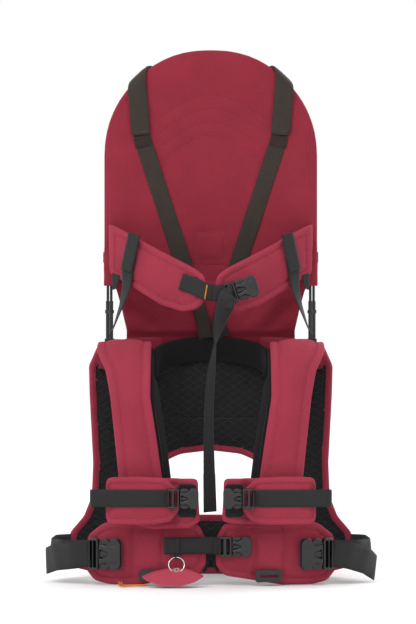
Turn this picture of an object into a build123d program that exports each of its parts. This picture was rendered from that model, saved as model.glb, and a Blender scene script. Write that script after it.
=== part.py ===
from build123d import *
from math import atan2, pi, radians, sqrt, tan
import os

# Child shoulder carrier. Millimetres, +Z up, +X to the right of someone who faces the vest's front,
# -Y is the vest's front and +Y the wearer's back. Pieces are drawn about the shoulder arch and moved
# back by MIDDLE when they are written, so the origin is on the floor under the middle of the carrier.

# ---- driving dimensions -------------------------------------------------------------------------
BACKREST_TOP = 768
BACKREST_BOTTOM = 424
BACKREST_HALF = 156
SHOULDER_HEIGHT = 676
CROWN_HALF = 68
SHOULDER_ROUND = 155
CROWN_ROUND = 150
BACKREST_FRONT = 82
BACKREST_THICK = 16
HOOP_INSET = 9
HOOP_TUBE = 8
HOOP_WALL = 1

ROD = 4
TUBE = 6
ROD_FIT = 0.05
FRONT_ROD = (145.5, 76)
REAR_ROD = (151, 94)
TUBE_TOP = 400
PIVOT_Y = 85
PIVOT_Z = 332
PIVOT_PIN = 4

MIDDLE = 21.3
ARCH_Y = -2
ARCH_Z = 245
ARCH_OUTER = 100
PAD_FOAM = 14
LINING_INNER = 75
PAD_BOTTOM = 92

BACK_CENTRE = -303
BACK_INNER = 387
BACK_OUTER = 403
FLAP_CENTRE = 428
FLAP_INNER = 508
FLAP_OUTER = 530
POST_X = 148
POST_Y = 63
POST_TUBE = 8
HALF_CUT = 150

GAP = 0.3
WEB = 1.6
WALL = 1.8
CHEEK = 2.2

SIDES = ((-1, "left"), (1, "right"))

os.makedirs("parts", exist_ok=True)


def save(part, name):
    """Move a finished piece to the carrier's frame, label it and write its STEP file."""
    placed = part.moved(Location((0, MIDDLE, 0)))
    placed.label = name
    export_step(placed, f"parts/{name}.step")


def mirrored(side, points):
    """Points of a left or right outline, given for the right hand side."""
    return [(side * x, z) for x, z in points]


def rod_places():
    """Where the four rods stand, seen from above."""
    return [(side * x, y) for side, hand in SIDES for x, y in (FRONT_ROD, REAR_ROD)]


def ring_stretch(centre, inner, outer, x_range, y_range):
    """Stretch of a flat ring seen from above, kept between two limits each way."""
    with BuildSketch() as stretch:
        with Locations((0, centre)):
            Circle(outer)
            Circle(inner, mode=Mode.SUBTRACT)
        with Locations((sum(x_range) / 2, sum(y_range) / 2)):
            Rectangle(x_range[1] - x_range[0], y_range[1] - y_range[0], mode=Mode.INTERSECT)
    return stretch.sketch


def outline(points, radius=0):
    """Closed outline with rounded or plain corners."""
    with BuildSketch() as shape:
        with BuildLine():
            if radius:
                FilletPolyline(*points, radius=radius, close=True)
            else:
                Polyline(*points, close=True)
        make_face()
    return shape.sketch


def strap_outline(points, width, radius=60):
    """Outline of a flat strap along a bent centre line."""
    with BuildSketch() as strap:
        with BuildLine():
            if len(points) > 2:
                FilletPolyline(*points, radius=radius)
            else:
                Line(*points)
        trace(line_width=width)
    return strap.sketch


# ---- backrest: hoop, rods, pad ------------------------------------------------------------------
LOWER_TURN = atan2(BACKREST_HALF - CROWN_HALF, BACKREST_TOP - SHOULDER_HEIGHT)
UPPER_TURN = atan2(BACKREST_TOP - SHOULDER_HEIGHT, BACKREST_HALF - CROWN_HALF)


def arch_corners(inset, foot):
    """Corners of the backrest's arch, moved in by an inset, from foot to foot."""
    side = BACKREST_HALF - inset
    shoulder = SHOULDER_HEIGHT - inset * tan(LOWER_TURN / 2)
    crown = CROWN_HALF - inset * tan(UPPER_TURN / 2)
    top = BACKREST_TOP - inset
    right = [(crown, top), (side, shoulder), (side, foot)]
    return [(-x, z) for x, z in reversed(right)] + right


def arch_radii(inset):
    """Corner radii that keep the arch parallel to its outline."""
    return [SHOULDER_ROUND - inset, CROWN_ROUND - inset, CROWN_ROUND - inset, SHOULDER_ROUND - inset]


HOOP_Y = BACKREST_FRONT + BACKREST_THICK / 2
HOOP_FOOT = 441


def hoop_solid(diameter):
    """Round bar along the hoop's line."""
    with BuildPart() as hoop:
        with BuildLine(Plane.XZ.offset(-HOOP_Y)) as line:
            FilletPolyline(*arch_corners(HOOP_INSET, HOOP_FOOT), radius=arch_radii(HOOP_INSET))
        with BuildSketch(Plane(origin=line.line @ 0, z_dir=line.line % 0)):
            Circle(diameter / 2)
        sweep()
    return hoop.part


with BuildPart() as hoop_frame:
    add(hoop_solid(HOOP_TUBE))
    with BuildLine(Plane.XZ.offset(-HOOP_Y)) as bore_line:
        FilletPolyline(*arch_corners(HOOP_INSET, HOOP_FOOT), radius=arch_radii(HOOP_INSET))
    with BuildSketch(Plane(origin=bore_line.line @ 0, z_dir=bore_line.line % 0)):
        Circle(HOOP_TUBE / 2 - HOOP_WALL)
    sweep(mode=Mode.SUBTRACT)
save(hoop_frame.part, "hoop_frame")

SOCKET_LOW = 424
SOCKET_HIGH = 456
SOCKET_WIDE = 15
SOCKET_DEEP = 30
SOCKET_X = 147.5
ROD_TOP = 440
HOOP_X = BACKREST_HALF - HOOP_INSET


def socket_block(side, grow):
    """Block that holds one side's two rods and one foot of the hoop."""
    with BuildPart() as block:
        with BuildSketch(Plane.XY.offset(SOCKET_LOW - grow)):
            with Locations((side * SOCKET_X, PIVOT_Y)):
                RectangleRounded(SOCKET_WIDE + 2 * grow, SOCKET_DEEP + 2 * grow, 3)
        extrude(amount=SOCKET_HIGH - SOCKET_LOW + 2 * grow)
    return block.part


with BuildPart() as rod_sockets:
    for side, hand in SIDES:
        add(socket_block(side, 0))
    with BuildSketch(Plane.XY.offset(SOCKET_LOW)):
        with Locations(*rod_places()):
            Circle(ROD / 2)
    extrude(amount=ROD_TOP - SOCKET_LOW, mode=Mode.SUBTRACT)
    with BuildSketch(Plane.XY.offset(HOOP_FOOT)):
        with Locations((-HOOP_X, HOOP_Y), (HOOP_X, HOOP_Y)):
            Circle(HOOP_TUBE / 2)
    extrude(amount=SOCKET_HIGH - HOOP_FOOT, mode=Mode.SUBTRACT)
save(rod_sockets.part, "rod_sockets")

ROD_FOOT = 362
with BuildPart() as inner_rods:
    with BuildSketch(Plane.XY.offset(ROD_FOOT)):
        with Locations(*rod_places()):
            Circle(ROD / 2)
    extrude(amount=ROD_TOP - ROD_FOOT)
save(inner_rods.part, "inner_rods")

with BuildPart() as backrest_pad:
    with BuildSketch(Plane.XZ.offset(-BACKREST_FRONT)):
        with BuildLine():
            arch = FilletPolyline(*arch_corners(0, BACKREST_BOTTOM), radius=arch_radii(0))
            Line(arch @ 1, arch @ 0)
        make_face()
    extrude(amount=-BACKREST_THICK)
    for side, hand in SIDES:
        add(socket_block(side, GAP), mode=Mode.SUBTRACT)
    add(hoop_solid(HOOP_TUBE + 2 * GAP), mode=Mode.SUBTRACT)
save(backrest_pad.part, "backrest_pad")

# ---- child harness on the backrest's front ------------------------------------------------------
HARNESS_WIDTH = 25
HARNESS_Y = BACKREST_FRONT - 0.5
SLEEVE_THICK = 4
SLEEVE_Y = HARNESS_Y - WEB - GAP


with BuildPart() as harness_straps:
    for side, hand in SIDES:
        with BuildSketch(Plane.XZ.offset(-HARNESS_Y)):
            add(strap_outline(mirrored(side, [(109, 729), (101, 640), (30, 424)]), HARNESS_WIDTH))
        extrude(amount=WEB)
save(harness_straps.part, "harness_straps")

with BuildPart() as harness_sleeves:
    for side, hand in SIDES:
        with BuildSketch(Plane.XZ.offset(-SLEEVE_Y)):
            add(strap_outline(mirrored(side, [(109, 731), (101.5, 636)]), HARNESS_WIDTH + 3))
        extrude(amount=SLEEVE_THICK)
save(harness_sleeves.part, "harness_sleeves")

# ---- seat sling and crotch straps, below the backrest -------------------------------------------
SLING_FRONT = 83
SLING_THICK = 2.5
SLING_LOW = 358
SLING_HIGH = 408
CROTCH_WIDTH = 16
with BuildPart() as seat_sling:
    with BuildSketch(Plane.XZ.offset(-SLING_FRONT)):
        add(outline([(-127, SLING_LOW), (127, SLING_LOW), (134, SLING_HIGH), (-134, SLING_HIGH)], 5))
    extrude(amount=-SLING_THICK)
save(seat_sling.part, "seat_sling")

with BuildPart() as crotch_straps:
    for side, hand in SIDES:
        with BuildSketch(Plane.XZ.offset(-(SLING_FRONT - GAP))):
            add(strap_outline(mirrored(side, [(13, SLING_LOW + 1), (22, SLING_HIGH - 1)]), CROTCH_WIDTH))
        extrude(amount=WEB)
save(crotch_straps.part, "crotch_straps")

# ---- struts: tubes, their collars, knuckles, pins, brackets -------------------------------------
KNUCKLE_TOP = 345
KNUCKLE_DEEP = 30
KNUCKLE_WIDE = 14
PLATE_THICK = 7
TONGUE_HALF = 3.7
TONGUE_ROUND = 4
COLLAR_WALL = 1.2
COLLAR_TALL = 5
COLLAR_DROP = 18
KNUCKLE_X = POST_X

with BuildPart() as outer_tubes:
    with BuildSketch(Plane.XY.offset(KNUCKLE_TOP - PLATE_THICK)):
        with Locations(*rod_places()):
            Circle(TUBE / 2)
            Circle(ROD / 2 + ROD_FIT, mode=Mode.SUBTRACT)
    extrude(amount=TUBE_TOP - KNUCKLE_TOP + PLATE_THICK)
save(outer_tubes.part, "outer_tubes")

with BuildPart() as tube_collars:
    with BuildSketch(Plane.XY.offset(TUBE_TOP - COLLAR_DROP)):
        with Locations(*rod_places()):
            Circle(TUBE / 2 + COLLAR_WALL)
            Circle(TUBE / 2, mode=Mode.SUBTRACT)
    extrude(amount=COLLAR_TALL)
save(tube_collars.part, "tube_collars")

with BuildPart() as strut_knuckles:
    with BuildSketch(Plane.XY.offset(KNUCKLE_TOP - PLATE_THICK)):
        with Locations((-KNUCKLE_X, PIVOT_Y), (KNUCKLE_X, PIVOT_Y)):
            RectangleRounded(KNUCKLE_WIDE, KNUCKLE_DEEP, 3)
        with Locations(*rod_places()):
            Circle(TUBE / 2, mode=Mode.SUBTRACT)
    extrude(amount=PLATE_THICK)
    for side, hand in SIDES:
        with BuildSketch(Plane.YZ.offset(side * KNUCKLE_X - TONGUE_HALF)):
            add(outline([(PIVOT_Y - TONGUE_ROUND, KNUCKLE_TOP - PLATE_THICK),
                         (PIVOT_Y - TONGUE_ROUND, PIVOT_Z), (PIVOT_Y + TONGUE_ROUND, PIVOT_Z),
                         (PIVOT_Y + TONGUE_ROUND, KNUCKLE_TOP - PLATE_THICK)]))
            with Locations((PIVOT_Y, PIVOT_Z)):
                Circle(TONGUE_ROUND)
                Circle(PIVOT_PIN / 2, mode=Mode.SUBTRACT)
        extrude(amount=2 * TONGUE_HALF)
save(strut_knuckles.part, "strut_knuckles")

BRACKET_BASE = 318
BRACKET_THICK = 6
BRACKET_HALF = KNUCKLE_WIDE / 2
BRACKET_Y = (POST_Y + PIVOT_Y + 4) / 2
BRACKET_DEEP = PIVOT_Y - POST_Y + 18
CHEEK_THICK = 2.7
CHEEK_ROUND = 4.5
CHEEK_ROOT = 7
with BuildPart() as pivot_pins:
    for side, hand in SIDES:
        with BuildSketch(Plane.YZ.offset(side * KNUCKLE_X - BRACKET_HALF)):
            with Locations((PIVOT_Y, PIVOT_Z)):
                Circle(PIVOT_PIN / 2)
        extrude(amount=2 * BRACKET_HALF)
save(pivot_pins.part, "pivot_pins")

with BuildPart() as pivot_brackets:
    with BuildSketch(Plane.XY.offset(BRACKET_BASE - BRACKET_THICK)):
        with Locations((-KNUCKLE_X, BRACKET_Y), (KNUCKLE_X, BRACKET_Y)):
            RectangleRounded(2 * BRACKET_HALF, BRACKET_DEEP, 2)
        with Locations((-POST_X, POST_Y), (POST_X, POST_Y)):
            Circle(POST_TUBE / 2, mode=Mode.SUBTRACT)
    extrude(amount=BRACKET_THICK)
    for side, hand in SIDES:
        for edge in (-BRACKET_HALF, BRACKET_HALF - CHEEK_THICK):
            with BuildSketch(Plane.YZ.offset(side * KNUCKLE_X + edge)):
                add(outline([(PIVOT_Y - CHEEK_ROOT, BRACKET_BASE), (PIVOT_Y - CHEEK_ROUND, PIVOT_Z),
                             (PIVOT_Y + CHEEK_ROUND, PIVOT_Z), (PIVOT_Y + CHEEK_ROOT, BRACKET_BASE)]))
                with Locations((PIVOT_Y, PIVOT_Z)):
                    Circle(CHEEK_ROUND)
                    Circle(PIVOT_PIN / 2 + ROD_FIT, mode=Mode.SUBTRACT)
            extrude(amount=CHEEK_THICK)
save(pivot_brackets.part, "pivot_brackets")

# ---- back frame, stiffener, back pad, wings, hip belt -------------------------------------------
POST_FOOT = 46
BAR_BACK = 92
BACK_REACH = 110


def back_frame_solid(diameter):
    """Two posts joined by a cross bar that follows the curved back."""
    with BuildPart() as frame:
        with BuildSketch(Plane.XY.offset(POST_FOOT - diameter / 2)):
            with Locations((-POST_X, POST_Y), (POST_X, POST_Y)):
                Circle(diameter / 2)
        extrude(amount=BRACKET_BASE - POST_FOOT + diameter / 2)
        with BuildLine(Plane.XY.offset(POST_FOOT)) as bar:
            ThreePointArc((-POST_X, POST_Y), (0, BAR_BACK), (POST_X, POST_Y))
        with BuildSketch(Plane(origin=bar.line @ 0, z_dir=bar.line % 0)):
            Circle(diameter / 2)
        sweep()
    return frame.part


save(back_frame_solid(POST_TUBE), "back_frame")

STIFF_INNER = 394
STIFF_OUTER = 396
STIFF_HALF = 110
STIFF_LOW = 186
STIFF_TALL = 90
with BuildPart() as back_stiffener:
    with BuildSketch(Plane.XY.offset(STIFF_LOW)):
        add(ring_stretch(BACK_CENTRE, STIFF_INNER, STIFF_OUTER, (-STIFF_HALF, STIFF_HALF), (0, BACK_REACH)))
    extrude(amount=STIFF_TALL)
save(back_stiffener.part, "back_stiffener")

BACK_PAD_LOW = 163
BACK_PAD_HIGH = 306
EAR_TOP = 329
BACK_HALF = 178
back_right = [(84, BACK_PAD_HIGH), (84, 280), (156, 280), (156, EAR_TOP), (176, EAR_TOP - 12),
              (175, BACK_PAD_LOW)]
with BuildPart() as back_pad:
    with BuildSketch(Plane.XY.offset(BACK_PAD_LOW)):
        add(ring_stretch(BACK_CENTRE, BACK_INNER, BACK_OUTER, (-BACK_HALF, BACK_HALF), (0, BACK_REACH)))
    extrude(amount=EAR_TOP - BACK_PAD_LOW)
    with BuildSketch(Plane.XZ):
        add(outline([*mirrored(-1, reversed(back_right)), *back_right, (65, BACK_PAD_LOW),
                     (0, BACK_PAD_LOW + 13), (-65, BACK_PAD_LOW)]))
    extrude(amount=HALF_CUT, both=True, mode=Mode.INTERSECT)
    with BuildSketch(Plane.XY.offset(STIFF_LOW - GAP)):
        add(ring_stretch(BACK_CENTRE, STIFF_INNER - GAP, STIFF_OUTER + GAP,
                         (-STIFF_HALF - GAP, STIFF_HALF + GAP), (0, BACK_REACH)))
    extrude(amount=STIFF_TALL + 2 * GAP, mode=Mode.SUBTRACT)
    add(back_frame_solid(POST_TUBE + 2 * GAP), mode=Mode.SUBTRACT)
save(back_pad.part, "back_pad")

WING_INNER = 95
WING_LOW = 85.5
BELT_HALF = 206
BELT_TALL = 85
with BuildPart() as back_wings:
    with BuildSketch(Plane.XY.offset(WING_LOW)):
        for side, hand in SIDES:
            add(ring_stretch(BACK_CENTRE, BACK_INNER, BACK_OUTER,
                             sorted((side * WING_INNER, side * BACK_HALF)), (0, BACK_REACH)))
    extrude(amount=BACK_PAD_LOW - GAP - WING_LOW)
    with BuildSketch(Plane.XZ):
        for side, hand in SIDES:
            add(outline(mirrored(side, [(WING_INNER, 200), (174, 200), (172, 120), (177, 96), (177, 60),
                                        (WING_INNER, 60)]), 3))
    extrude(amount=HALF_CUT, both=True, mode=Mode.INTERSECT)
    add(back_frame_solid(POST_TUBE + 2 * GAP), mode=Mode.SUBTRACT)
save(back_wings.part, "back_wings")

with BuildPart() as hip_belt:
    with BuildSketch():
        add(ring_stretch(BACK_CENTRE, BACK_INNER, BACK_OUTER, (-BELT_HALF, BELT_HALF), (0, BACK_REACH)))
    extrude(amount=BELT_TALL)
    with BuildSketch(Plane.XZ):
        add(outline([(-150, 0), (150, 0), (204, 22), (BELT_HALF, 66), (176, BELT_TALL), (-176, BELT_TALL),
                     (-BELT_HALF, 66), (-204, 22)], 6))
    extrude(amount=HALF_CUT, both=True, mode=Mode.INTERSECT)
    add(back_frame_solid(POST_TUBE + 2 * GAP), mode=Mode.SUBTRACT)
save(hip_belt.part, "hip_belt")


# ---- shoulder pads: outer pad, stay and lining follow one arch over the shoulder ----------------
PAD_HEEL = 281


def shoulder_layer(outer, inner, foot, heel):
    """Side profile of one layer: up the chest, over the shoulder, down to the back pad."""
    heel_out = (ARCH_Y + sqrt(outer ** 2 - (heel - ARCH_Z) ** 2), heel)
    heel_in = (ARCH_Y + sqrt(inner ** 2 - (heel - ARCH_Z) ** 2), heel)
    with BuildSketch() as profile:
        with BuildLine():
            Line((ARCH_Y - outer, foot), (ARCH_Y - outer, ARCH_Z))
            ThreePointArc((ARCH_Y - outer, ARCH_Z), (ARCH_Y, ARCH_Z + outer), heel_out)
            Line(heel_out, heel_in)
            ThreePointArc(heel_in, (ARCH_Y, ARCH_Z + inner), (ARCH_Y - inner, ARCH_Z))
            Line((ARCH_Y - inner, ARCH_Z), (ARCH_Y - inner, foot))
            Line((ARCH_Y - inner, foot), (ARCH_Y - outer, foot))
        make_face()
    return profile.sketch


def shoulder_solid(side, outer, inner, foot, front):
    """One layer of a shoulder pad, cut to its outline in the front view."""
    with BuildPart() as layer:
        with BuildSketch(Plane.YZ.offset(side * 100)):
            add(shoulder_layer(outer, inner, foot, PAD_HEEL))
        extrude(amount=80, both=True)
        with BuildSketch(Plane.XZ):
            add(outline(mirrored(side, front)))
        extrude(amount=HALF_CUT, both=True, mode=Mode.INTERSECT)
        with BuildSketch(Plane.XY.offset(270)):
            with Locations((side * 150, 80)):
                Rectangle(22, 60)
        extrude(amount=100, mode=Mode.SUBTRACT)
    return layer.part


pad_outline = [(86, 400), (86, 262), (75, 199), (68, 150), (62, PAD_BOTTOM), (127, PAD_BOTTOM), (129, 150),
               (134, 199), (141, 265), (147, 300), (153, 338), (153, 400)]
lining_outline = [(86.5, 400), (86.5, 288), (73, 284), (72, 262), (62, 199), (55, 150), (50, PAD_BOTTOM),
                  (118, PAD_BOTTOM), (121, 150), (126, 199), (133, 265), (140, 300), (145, 400)]
stay_outline = [(98, 400), (98, 262), (88, 150), (86, PAD_BOTTOM + 20), (108, PAD_BOTTOM + 20), (110, 150),
                (120, 262), (120, 400)]
PAD_INNER = ARCH_OUTER - PAD_FOAM
STAY_THICK = 2.4
LINING_OUTER = PAD_INNER - STAY_THICK - 2 * GAP

for side, hand in SIDES:
    save(shoulder_solid(side, ARCH_OUTER, PAD_INNER, PAD_BOTTOM, pad_outline), f"shoulder_pad_{hand}")

with BuildPart() as shoulder_stays:
    for side, hand in SIDES:
        add(shoulder_solid(side, PAD_INNER - GAP, LINING_OUTER + GAP, PAD_BOTTOM + 20, stay_outline))
save(shoulder_stays.part, "shoulder_stays")

with BuildPart() as shoulder_linings:
    for side, hand in SIDES:
        add(shoulder_solid(side, LINING_OUTER, LINING_INNER, PAD_BOTTOM, lining_outline))
save(shoulder_linings.part, "shoulder_linings")

# ---- neck roll: a horseshoe that dips towards the front -----------------------------------------
ROLL_HALF = 79
ROLL_BACK_Y = 87
ROLL_BACK_Z = 329
ROLL_DIP = 13.7
ROLL_ARM = 42
ROLL_THICK = 12.8
ROLL_TALL = 40
with BuildPart() as neck_roll:
    roll_plane = Plane(origin=(0, ROLL_BACK_Y, ROLL_BACK_Z), x_dir=(1, 0, 0)).rotated((ROLL_DIP, 0, 0))
    with BuildLine(roll_plane) as horseshoe:
        Line((-ROLL_HALF, -ROLL_HALF - ROLL_ARM), (-ROLL_HALF, -ROLL_HALF))
        ThreePointArc((-ROLL_HALF, -ROLL_HALF), (0, 0), (ROLL_HALF, -ROLL_HALF))
        Line((ROLL_HALF, -ROLL_HALF), (ROLL_HALF, -ROLL_HALF - ROLL_ARM))
    with BuildSketch(Plane(origin=horseshoe.line @ 0, x_dir=(1, 0, 0), z_dir=horseshoe.line % 0)):
        RectangleRounded(ROLL_THICK, ROLL_TALL, 6)
    sweep()
save(neck_roll.part, "neck_roll")

# ---- front flaps --------------------------------------------------------------------------------
FLAP_TALL = 90
flap_outline = [(136, 88), (172, 63), (176, 35), (166, 10), (148, 0.01), (99, 0), (57, 8), (14, 14),
                (5.5, 28), (5.5, 70), (14, 88)]
for side, hand in SIDES:
    with BuildPart() as flap:
        with BuildSketch():
            add(ring_stretch(FLAP_CENTRE, FLAP_INNER, FLAP_OUTER, sorted((side * 5, side * 177)),
                             (-120, 0)))
        extrude(amount=FLAP_TALL)
        with BuildSketch(Plane.XZ):
            add(outline(mirrored(side, flap_outline), 5))
        extrude(amount=HALF_CUT, both=True, mode=Mode.INTERSECT)
    save(flap.part, f"front_flap_{hand}")


def flap_face(x):
    """Depth of the front flap's outer face at a given distance from the middle."""
    return FLAP_CENTRE - sqrt(FLAP_OUTER ** 2 - x ** 2)


def flap_plane(x, z, lift, towards):
    """Plane that lies on the front flap's face, its x axis pointing left or right along the face."""
    lean = x / FLAP_OUTER
    out = (lean, -sqrt(1 - lean ** 2), 0)
    along = (towards * sqrt(1 - lean ** 2), towards * lean, 0)
    origin = (x + out[0] * lift, flap_face(x) + out[1] * lift, z)
    return Plane(origin=origin, x_dir=along, z_dir=out)


# ---- side release buckles -----------------------------------------------------------------------
SLOT_END = 9


def receiver_solid(place, width, length, base, depth):
    """Outer half: a hollow shell with open sides and a slot for its webbing."""
    pocket = length - SLOT_END
    with BuildPart() as half:
        with BuildSketch(place):
            with Locations((length / 2, 0)):
                RectangleRounded(length, width, 4)
        extrude(amount=depth)
        fillet(half.faces().sort_by(Axis(place.origin, place.z_dir))[-1].edges(), 1)
        with BuildSketch(place.offset(WALL)):
            with Locations((pocket / 2 - 1, 0)):
                Rectangle(pocket + 2, width - 2 * CHEEK)
            with Locations((pocket / 2 + 3, 0)):
                Rectangle(pocket - 10, width + 2)
        extrude(amount=depth - 2 * WALL, mode=Mode.SUBTRACT)
        with BuildSketch(place):
            with Locations((length - SLOT_END / 2, 0)):
                SlotOverall(width - 9, 3.2, rotation=90)
        extrude(amount=depth, mode=Mode.SUBTRACT)
    return half.part


def prong_outline(width, pocket, root, hand):
    """Side view of one springy prong with its widened head."""
    out = hand * (width / 2 - CHEEK - GAP)
    inner = hand * (width / 2 - CHEEK - GAP - 5)
    neck = hand * (width / 2 - CHEEK - GAP - 2)
    return outline([(root, inner), (pocket - 4, inner), (pocket - 2, neck), (pocket - 5, out), (9, out),
                    (7, neck), (root, neck)])


def clip_solid(place, width, length, base, depth, prongs):
    """Inner half: a ladder frame for the webbing, a centre blade and, if asked, its two prongs."""
    pocket = length - SLOT_END
    with BuildPart() as clip:
        with BuildSketch(place):
            with Locations((-base / 2 - GAP, 0)):
                RectangleRounded(base, width, 3)
            with Locations((-base + 3.2, 0), (-6, 0)):
                SlotOverall(width - 8, 3, rotation=90, mode=Mode.SUBTRACT)
        extrude(amount=depth)
        fillet(clip.faces().sort_by(Axis(place.origin, place.z_dir))[-1].outer_wire().edges(), 1)
        with BuildSketch(place.offset(WALL + GAP)):
            with Locations(((pocket - 3) / 2 - 1, 0)):
                Rectangle(pocket - 1, width * 0.2)
            if prongs:
                add(prong_outline(width, pocket, -1, 1))
                add(prong_outline(width, pocket, -1, -1))
        extrude(amount=depth - 2 * (WALL + GAP))
    return clip.part


def prong_solid(place, width, length, base, depth, hand):
    """One prong as a piece of its own, with a running gap to the ladder frame."""
    with BuildPart() as prong:
        with BuildSketch(place.offset(WALL + GAP)):
            add(prong_outline(width, length - SLOT_END, GAP, hand))
        extrude(amount=depth - 2 * (WALL + GAP))
    return prong.part


# each size is width, receiver length, ladder frame length, depth
HIP_SIZE = (45, 32, 15, 11)
CHEST_SIZE = (29, 27, 18, 9)
BELT_SIZE = (31, 31, 16, 9)
CUFF_SIZE = (29, 26, 17, 9)

HIP_X = 154
HIP_Z = 44
CHEST_PLACE = Plane(origin=(30, -104.9, 56), x_dir=(1, 0, 0), z_dir=(0, -1, 0))
BELT_TILT = 17
BELT_PLACE = Plane(origin=(37, -31.5, 414), x_dir=(1, 0, 0), z_dir=(0, -1, 0)).rotated((0, -BELT_TILT, 0))
CUFF_CLIP_X = 43
CUFF_CLIP_Z = 125
CUFF_CLIP_Y = -133.6


def hip_place(side):
    """Where one hip buckle's mouth lies, facing outwards along the front flap."""
    return flap_plane(side * HIP_X, HIP_Z, 2.6, -side)


def cuff_place(side):
    """Where one cuff buckle's mouth lies, facing outwards over the cuff."""
    origin = (side * CUFF_CLIP_X, CUFF_CLIP_Y, CUFF_CLIP_Z)
    return Plane(origin=origin, x_dir=(-side, 0, 0), z_dir=(0, -1, 0))


with BuildPart() as hip_receivers:
    for side, hand in SIDES:
        add(receiver_solid(hip_place(side), *HIP_SIZE))
save(hip_receivers.part, "hip_receivers")

with BuildPart() as cuff_receivers:
    for side, hand in SIDES:
        add(receiver_solid(cuff_place(side), *CUFF_SIZE))
save(cuff_receivers.part, "cuff_receivers")

save(receiver_solid(CHEST_PLACE, *CHEST_SIZE), "chest_receiver")
save(receiver_solid(BELT_PLACE, *BELT_SIZE), "belt_receiver")
save(clip_solid(CHEST_PLACE, *CHEST_SIZE, prongs=True), "chest_clip")

sprung = [("belt", BELT_PLACE, BELT_SIZE)]
for side, hand in SIDES:
    save(clip_solid(cuff_place(side), *CUFF_SIZE, prongs=True), f"cuff_{hand}_clip")
    sprung.append((f"hip_{hand}", hip_place(side), HIP_SIZE))

for name, place, measures in sprung:
    save(clip_solid(place, *measures, prongs=False), f"{name}_clip")
    save(prong_solid(place, *measures, 1), f"{name}_prong_a")
    save(prong_solid(place, *measures, -1), f"{name}_prong_b")

# ---- webbing on the vest's front ----------------------------------------------------------------
CHEST_STRAP_Y = -102.6
CHEST_WIDTH = 24
with BuildPart() as chest_strap:
    with BuildSketch(Plane.XZ.offset(-CHEST_STRAP_Y)):
        with Locations((-18, 57)):
            Rectangle(92, CHEST_WIDTH)
    extrude(amount=WEB)
save(chest_strap.part, "chest_strap")

HIP_WIDTH = 38
hip_route = [(206.5, 34), (226, 6), (231, -30), (208, -62), (157.4, -79.4)]
with BuildPart() as hip_straps:
    with BuildSketch(Plane.XY.offset(HIP_Z - HIP_WIDTH / 2)):
        for side, hand in SIDES:
            add(strap_outline(mirrored(side, hip_route), WEB, [22, 30, 30]))
    extrude(amount=HIP_WIDTH)
save(hip_straps.part, "hip_straps")

# ---- ankle cuffs --------------------------------------------------------------------------------
CUFF_LOW = 88
CUFF_HIGH = 153
CUFF_AXIS = (134, -116)
CUFF_ROUND = 15
CUFF_PLATE = 10
CUFF_WIDTH = 24
with BuildPart() as cuff_pads:
    with BuildSketch(Plane.XY.offset(CUFF_LOW)):
        for side, hand in SIDES:
            add(outline(mirrored(side, [(122, -112), (41, -112), (41, -130), (16, -130), (16, -103.3),
                                        (122, -103.3)])))
    extrude(amount=CUFF_HIGH - CUFF_LOW)
save(cuff_pads.part, "cuff_pads")

for side, hand in SIDES:
    with BuildPart() as cuff_flap:
        with BuildSketch(Plane.XY.offset(CUFF_LOW)):
            with Locations((side * CUFF_AXIS[0], CUFF_AXIS[1])):
                Circle(CUFF_ROUND)
                Circle(CUFF_ROUND - CUFF_PLATE, mode=Mode.SUBTRACT)
            with Locations((side * (CUFF_AXIS[0] + 10), CUFF_AXIS[1] - 10)):
                Rectangle(20, 20, mode=Mode.INTERSECT)
            with Locations((side * (CUFF_AXIS[0] + 44) / 2, CUFF_AXIS[1] - CUFF_ROUND + CUFF_PLATE / 2)):
                Rectangle(CUFF_AXIS[0] - 44, CUFF_PLATE)
        extrude(amount=CUFF_HIGH - CUFF_LOW)
    save(cuff_flap.part, f"cuff_flap_{hand}")

    with BuildPart() as cuff_strap:
        with BuildSketch(Plane.XY.offset(CUFF_CLIP_Z - CUFF_WIDTH / 2)):
            add(strap_outline(mirrored(side, [(46, -132.2), (166, -132.2), (166, -118)]), WEB, 12))
        extrude(amount=CUFF_WIDTH)
    save(cuff_strap.part, f"cuff_strap_{hand}")

# ---- child belt: two padded wings and the webbing on the left one --------------------------------
WING_THICK = 10
wing_right = [(147, 515), (117, 499), (74, 475), (22, 446), (7, 436), (6, 400), (22, 386), (40, 384),
              (72, 394), (118, 423), (147, 440)]
wing_plan = [(151, 66), (100, 26), (5, -24)]
for side, hand in SIDES:
    with BuildPart() as belt_wing:
        with BuildSketch(Plane.XY.offset(370)):
            add(strap_outline(mirrored(side, wing_plan), WING_THICK, 120))
        extrude(amount=160)
        with BuildSketch(Plane.XZ):
            add(outline(mirrored(side, wing_right), 4))
        extrude(amount=HALF_CUT, both=True, mode=Mode.INTERSECT)
    save(belt_wing.part, f"belt_wing_{hand}")

BELT_WIDTH = 24
BELT_WEB_Y = -29.3
with BuildPart() as belt_webbing:
    with BuildSketch(Plane.XZ.offset(-BELT_WEB_Y)):
        add(strap_outline([(-42, 428), (-8, 413), (22, 410)], BELT_WIDTH))
    extrude(amount=WEB)
save(belt_webbing.part, "belt_webbing")

# ---- free end of the belt's webbing, hanging from the clip ---------------------------------------
TAIL_WIDTH = 25
TAIL_Y = -42.5
tail_route = [(24, 396), (20, 362), (13, 318), (7, 270), (5, 218), (1, 168), (0, 132), (-2, 100)]


def print_route(name, points):
    """Print the radii of a route and give them back: each arc is as large as its runs allow."""
    radii = []
    for before, here, after in zip(points, points[1:], points[2:]):
        run_in = Vector(*here) - Vector(*before)
        run_out = Vector(*after) - Vector(*here)
        turn = run_in.get_angle(run_out)
        radii.append(0.45 * min(run_in.length, run_out.length) / tan(radians(turn / 2)))
    print(name, "radii", [round(radius, 1) for radius in radii])
    return radii


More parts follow.
